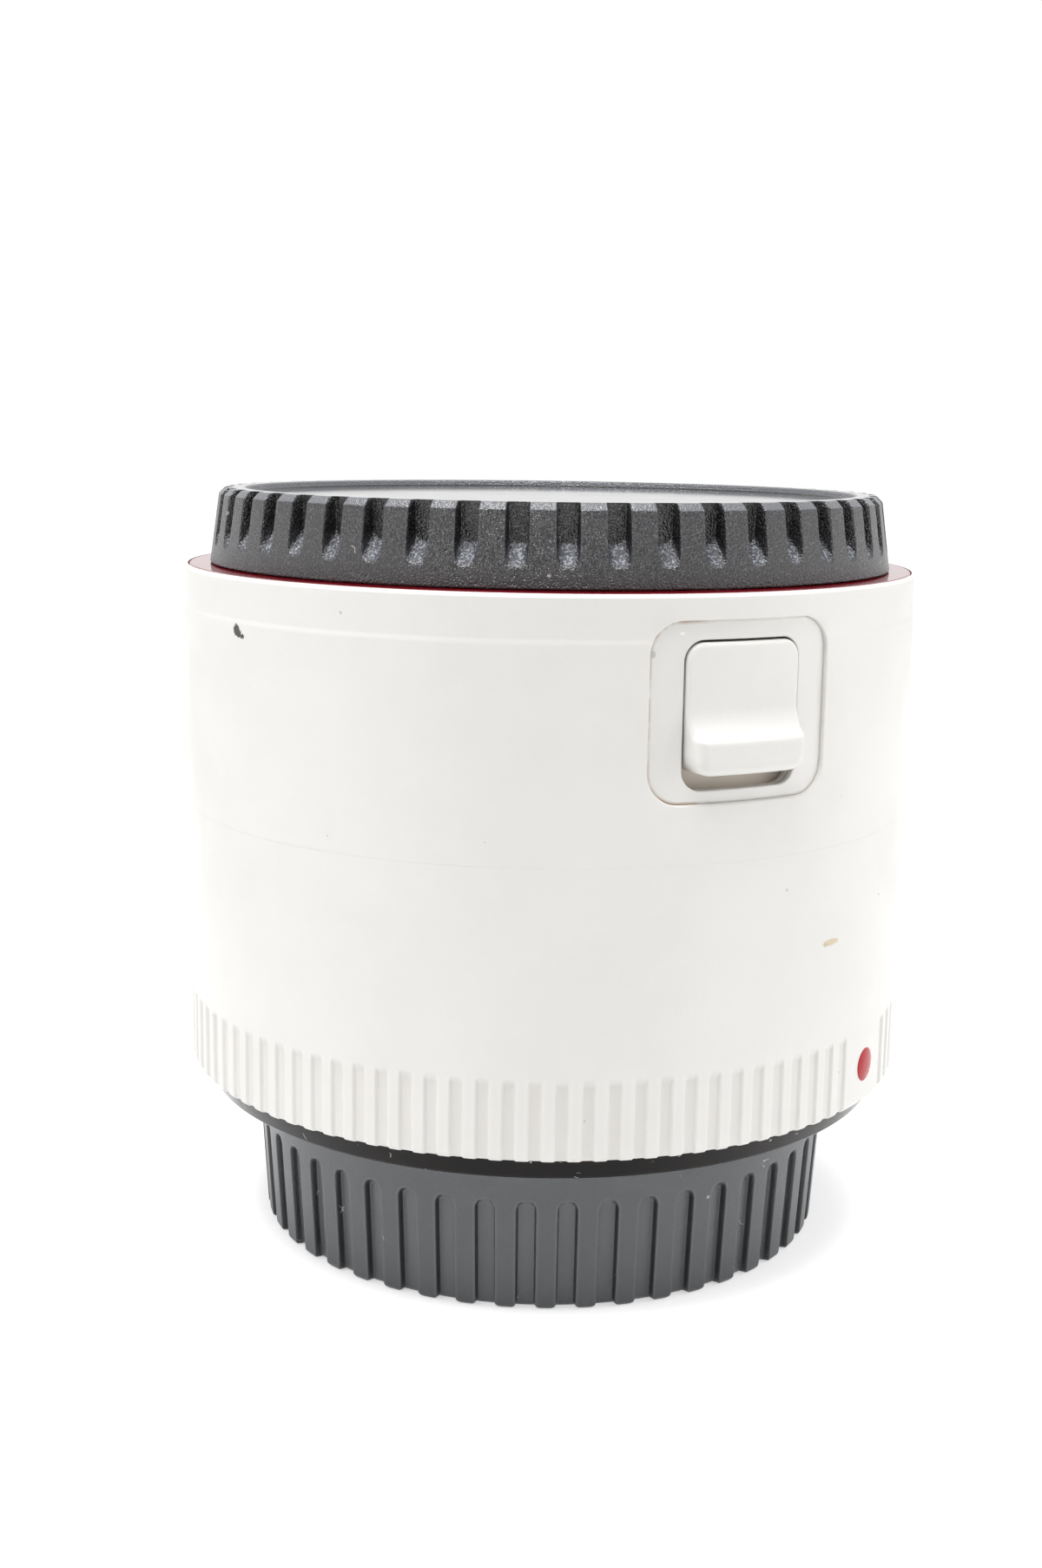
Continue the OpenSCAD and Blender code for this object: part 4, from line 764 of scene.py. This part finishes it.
def red_gloss(name, colour, roughness, specular):
    """Deep red lacquer, slightly wavy, with darker rubbed patches and a little dust."""
    lacquer = Finish(name, colour, roughness, Specular_IOR_Level=specular)
    grain = lacquer.use(GRAIN, Fine=3000.0, Broad=220.0)
    lacquer.tint(ramp(lacquer.tree, grain["Tone"], 0.45, 0.75), scaled(colour, 0.68), 0.6)
    lacquer.tint(lacquer.use(DUST, Cells=1100.0, Share=0.06, Size=0.12)["Mask"], (0.62, 0.3, 0.28), 0.6)
    lacquer.rough(grain["Tone"], 0.3, 0.7, roughness * 0.8, roughness * 1.3)
    lacquer.bump(grain["Height"], 0.000008, 0.3)
    return lacquer.material


def turned_metal(name, colour, roughness, fineness, wear):
    """Turned metal with lathe marks, tarnish and rubbed arcs."""
    metal = Finish(name, colour, roughness, 1.0)
    marks = metal.use(TURNED, Fineness=fineness)
    bright = tuple(min(1.0, c) for c in scaled(colour, 1.25, 0.03))
    metal.tint(ramp(metal.tree, marks["Tone"], 0.45, 0.75), scaled(colour, 0.8), 0.6)
    metal.tint(metal.use(SCRATCHES)["Mask"], bright, wear)
    metal.rough(marks["Tone"], 0.3, 0.7, roughness * 0.8, roughness * 1.3)
    metal.bump(marks["Height"], 0.00001, 0.4)
    return metal.material


def matt_black(name, colour, roughness):
    """Matt black coating inside the optics, with a fine grain and turned ridges against stray light."""
    coat = Finish(name, colour, roughness)
    grain = coat.use(GRAIN, Fine=6000.0, Broad=200.0)
    coat.tint(ramp(coat.tree, grain["Tone"], 0.4, 0.7), scaled(colour, 1.5), 0.6)
    coat.tint(coat.use(DUST, Cells=900.0, Share=0.05, Size=0.12)["Mask"], (0.3, 0.29, 0.28), 0.6)
    coat.rough(grain["Tone"], 0.3, 0.7, roughness - 0.05, roughness + 0.08)
    coat.bump(coat.use(TURNED, Fineness=1500.0)["Height"], 0.00004, 0.35)
    coat.bump(grain["Height"], 0.00001, 0.3)
    return coat.material


def coated_glass():
    """Optical glass with a purple-green coating and a trace of dust on the surface."""
    glass = Finish("coated_glass", (0.96, 0.985, 0.975), 0.0, IOR=1.6, Transmission_Weight=1.0,
                   Thin_Film_Thickness=430.0, Thin_Film_IOR=1.38)
    specks = glass.use(DUST, Cells=650.0, Share=0.03, Size=0.07)["Mask"]
    glass.rough(specks, 0.0, 1.0, 0.005, 0.25)
    return glass.material


def board_mask():
    """Green board lacquer over copper tracks that run in rings, with gold specks."""
    board = Finish("board_lacquer", (0.02, 0.115, 0.055), 0.32)
    marks = board.use(TURNED, Fineness=1100.0)
    tracks = ramp(board.tree, marks["Height"], 0.5, 0.56)
    board.tint(tracks, (0.05, 0.2, 0.085), 0.8)
    board.tint(board.use(DUST, Cells=420.0, Share=0.2, Size=0.2)["Mask"], (0.72, 0.6, 0.32), 0.9)
    board.rough(marks["Tone"], 0.3, 0.7, 0.26, 0.4)
    board.bump(tracks, 0.00003, 0.5)
    return board.material


def flex_film():
    """Amber film with fine copper lines along it."""
    film = Finish("flex_film", (0.42, 0.2, 0.04), 0.3)
    x = split(film.tree, place(film.tree))[0]
    lines = maths(film.tree, "SINE", maths(film.tree, "MULTIPLY", x, 9000.0))
    film.tint(ramp(film.tree, lines, 0.1, 0.5), (0.6, 0.33, 0.1), 0.8)
    film.rough(film.use(GRAIN)["Tone"], 0.3, 0.7, 0.25, 0.4)
    film.bump(lines, 0.00002, 0.3)
    return film.material


BLACK_CHIP, AMBER, BROWN = (0.035, 0.032, 0.03), (0.62, 0.5, 0.29), (0.55, 0.41, 0.24)
barrel_paint = white_paint("barrel_paint", [
    (-50.35, 61.42, 0.56, ROUND, BLACK_CHIP, 1.0),
    (-49.7, 61.2, 0.48, (1.0, 1.0, 1.2), BLACK_CHIP, 1.0),
    (-48.75, 60.96, 0.32, (1.0, 1.0, 1.3), BLACK_CHIP, 1.0),
])
grip_paint = white_paint("grip_paint", [
    (46.2, 34.34, 1.2, (1.0, 1.0, 3.6), AMBER, 0.75),
    (44.9, 34.2, 0.3, (1.0, 1.0, 1.6), BROWN, 0.6),
], grooves=True)
plate_paint = white_paint("plate_paint", [
    (18.27, 62.89, 0.24, (1.0, 1.0, 1.6), (0.93, 0.92, 0.9), 0.9),
    (14.15, 61.19, 0.28, (1.0, 1.0, 0.8), (0.5, 0.49, 0.46), 0.7),
], grime=True, radius=PLATE_R)
lever_paint = white_paint("lever_paint", grain=3600.0)
carriage_paint = white_paint("carriage_paint", colour=(0.8, 0.72, 0.63))
front_cap_skin = cap_plastic("front_cap_skin", (0.021, 0.02, 0.0225), pebble=5600.0, depth=0.0001, roughness=0.29,
                             dust=0.05, glint=0.42, lint=0.03, specular=0.85)
rear_cap_skin = cap_plastic("rear_cap_skin", (0.087, 0.091, 0.097), pebble=5200.0, depth=0.00003, roughness=0.36,
                            dust=0.09, glint=0.04, lint=0.12, specular=0.45)
ring_lacquer = red_gloss("ring_lacquer", (0.23, 0.006, 0.015), 0.07, 0.9)
dot_lacquer = red_gloss("dot_lacquer", (0.42, 0.008, 0.018), 0.25, 0.2)

make_front_cap(front_cap_skin)
make_rear_cap(rear_cap_skin)
make_rear_barrel(grip_paint)
make_front_barrel(barrel_paint)
make_window_plate(plate_paint)
make_release_lever(lever_paint)
make_index_dot(dot_lacquer)
ring_piece("red_ring_band", [(RED_IN, RED_Z, 0.05), (RED_R, RED_Z, 0.05), (RED_R, FRONT_FACE - 0.15, 0.06),
                             (RED_R - 0.15, FRONT_FACE, 0.08), (RED_IN, FRONT_FACE, 0.05)],
           "converter", "red_gloss", ring_lacquer, ("red_ring",))
ring_piece("seal_ring_cone", [(SEAL_IN, REAR_FACE, 0.05), (SEAL_FOOT_R, REAR_FACE, 0.08),
                              (SEAL_EDGE_R, SEAL_EDGE_Z, 0.1), (SEAL_R, BODY_Z, 0.1), (SEAL_IN, BODY_Z, 0.05)],
           "converter", "gloss_black", gloss_black(), ("rear_seal_ring",))
make_lever_skirt(carriage_paint)

FINISHES = {
    turned_metal("mount_chrome", (0.76, 0.75, 0.73), 0.2, 8000.0, 0.6): ["rear_mount", "front_mount", "lock_pin"],
    turned_metal("screw_steel", (0.62, 0.61, 0.59), 0.3, 5000.0, 0.4): [
        "rear_mount_screws", "front_mount_screws", "tube_screws", "lever_screws", "mount_spring", "release_spring"],
    turned_metal("chassis_alloy", (0.5, 0.5, 0.51), 0.42, 4000.0, 0.3): ["chassis"],
    turned_metal("contact_gold", (0.86, 0.62, 0.24), 0.22, 9000.0, 0.5): ["rear_contacts", "contact_pins"],
    matt_black("optics_black", (0.018, 0.018, 0.019), 0.55): [
        "lens_tube", "front_retainer", "front_spacer", "middle_retainer", "rear_spacer", "rear_retainer",
        "rear_baffle"],
    matt_black("block_plastic", (0.03, 0.03, 0.032), 0.42): [
        "rear_contact_block", "front_contact_block", "control_chips"],
    carriage_paint: ["lever_carriage"],
    coated_glass(): [f"lens_{i}" for i in range(1, 8)],
    board_mask(): ["circuit_board"],
    flex_film(): ["flex_strip"],
}
for finish, names in FINISHES.items():
    for name in names:
        nodes[name].data.materials.clear()
        nodes[name].data.materials.append(finish)


# Floor, light and camera

def white_ground():
    """Pale floor: white to the camera and to reflections, keeping the lamps' shadow, with a painted contact shadow
    where its glow is dimmed round the object's foot.
    """
    ground = Finish("pale_floor", (0.86, 0.86, 0.86), 0.8, Specular_IOR_Level=0.1)
    tree = ground.tree
    path = tree.nodes.new("ShaderNodeLightPath").outputs
    seen = maths(tree, "MAXIMUM", path["Is Camera Ray"], path["Is Glossy Ray"])
    seen = maths(tree, "MAXIMUM", seen, path["Is Transmission Ray"])
    # Painted shadow: the glow is lower within about 34 mm of a point 1.5 mm right of the axis, and rises further out
    # so the far floor stays white
    out = vectors(tree, "LENGTH", vectors(tree, "SUBTRACT", place(tree), (0.0015, 0.0, 0.0)))
    level = maths(tree, "ADD", ramp(tree, out, 0.0285, 0.0335, 0.52, 0.69), ramp(tree, out, 0.1, 0.5, 0.0, 0.12))
    glow = wire(tree, "ShaderNodeEmission", {"Color": (1, 1, 1, 1), "Strength": maths(tree, "MULTIPLY", seen, level)})
    both = wire(tree, "ShaderNodeAddShader", {0: ground.shader.outputs[0], 1: glow.outputs[0]})
    tree.links.new(both.outputs[0], tree.nodes["Material Output"].inputs["Surface"])
    return ground.material


def make_floor():
    """Flat square under the object, a grid of equal steps."""
    count = 9
    x, y = np.meshgrid(*[np.linspace(-1.5, 1.5, count)] * 2)
    mesh = bpy.data.meshes.new("floor")
    points, faces = np.stack([x, y, 0 * x], -1).reshape(-1, 3), grid_faces(count, count, wrap_columns=False)
    mesh.from_pydata(points.tolist(), [], faces.tolist())
    mesh.materials.append(white_ground())
    floor = show("floor", mesh)


def softbox(name, place_m, size, power, mirrored=True):
    """Area lamp at a place, turned towards the object's middle, which gloss may mirror or not."""
    lamp = bpy.data.lights.new(name, "AREA")
    lamp.shape, lamp.size, lamp.size_y, lamp.energy = "RECTANGLE", size[0], size[1], power
    made = show(name, lamp)
    made.visible_glossy = mirrored
    back = np.subtract(place_m, (0, 0, 0.04))
    back = back / np.linalg.norm(back)
    right = np.cross((0, 0, 1) if abs(back[2]) < 0.95 else (0, 1, 0), back)
    right = right / np.linalg.norm(right)
    turned = np.column_stack([right, np.cross(back, right), back, place_m])
    made.matrix_world = Matrix(np.vstack([turned, [0, 0, 0, 1]]).tolist())


def make_light():
    """White surround, a top light and two side lights.

    Gloss mirrors the surround darker from in front, where the photographer stands.
    """
    dim = 0.36
    world = bpy.data.worlds.new("surround")
    bpy.context.scene.world = world
    world.use_nodes = True
    tree = world.node_tree
    tree.nodes.clear()
    path = tree.nodes.new("ShaderNodeLightPath").outputs
    seen = maths(tree, "MAXIMUM", path["Is Camera Ray"], path["Is Transmission Ray"])
    heading = tree.nodes.new("ShaderNodeTexCoord").outputs["Generated"]
    to_front = maths(tree, "MULTIPLY", split(tree, heading)[1], -1.0)
    mirrored = maths(tree, "MULTIPLY", path["Is Glossy Ray"], ramp(tree, to_front, 0.55, 0.9, 1.0, dim))
    strength = maths(tree, "MAXIMUM", ramp(tree, seen, 0.0, 1.0, dim, 1.0), mirrored)
    sky = wire(tree, "ShaderNodeBackground", {"Color": (1, 1, 1, 1), "Strength": strength})
    tree.links.new(sky.outputs[0], tree.nodes.new("ShaderNodeOutputWorld").inputs["Surface"])
    softbox("top_light", (-0.06, -0.1, 0.5), (0.3, 0.3), 2.4)
    softbox("left_light", (-0.5, -0.12, 0.2), (0.4, 0.5), 0.85, False)
    softbox("right_light", (0.5, -0.05, 0.2), (0.4, 0.5), 1.3, False)


def make_camera():
    """Camera of the photograph, fitted to the object's edges: place, turn to the side, pitch down and roll.

    Its focal length was fitted in pixels of the photo, whose longer side the sensor's width covers.
    """
    away, height, yaw, pitch, roll = 0.1905, 0.07965, *np.radians([-0.749, 10.702, -0.797])
    sensor, focal_px, photo_px = 36.0, 2187, 1805
    camera = bpy.data.cameras.new("camera")
    camera.sensor_width, camera.lens, camera.clip_start = sensor, sensor * focal_px / photo_px, 0.01
    made = show("camera", camera)
    turn = Matrix.Rotation(-yaw, 4, "Z") @ Matrix.Rotation(np.pi / 2 - pitch, 4, "X") @ Matrix.Rotation(-roll, 4, "Z")
    made.matrix_world = Matrix.Translation((0, -away, height)) @ turn
    bpy.context.scene.camera = made


make_floor()
make_light()
make_camera()
bpy.context.scene.view_settings.view_transform = "Standard"
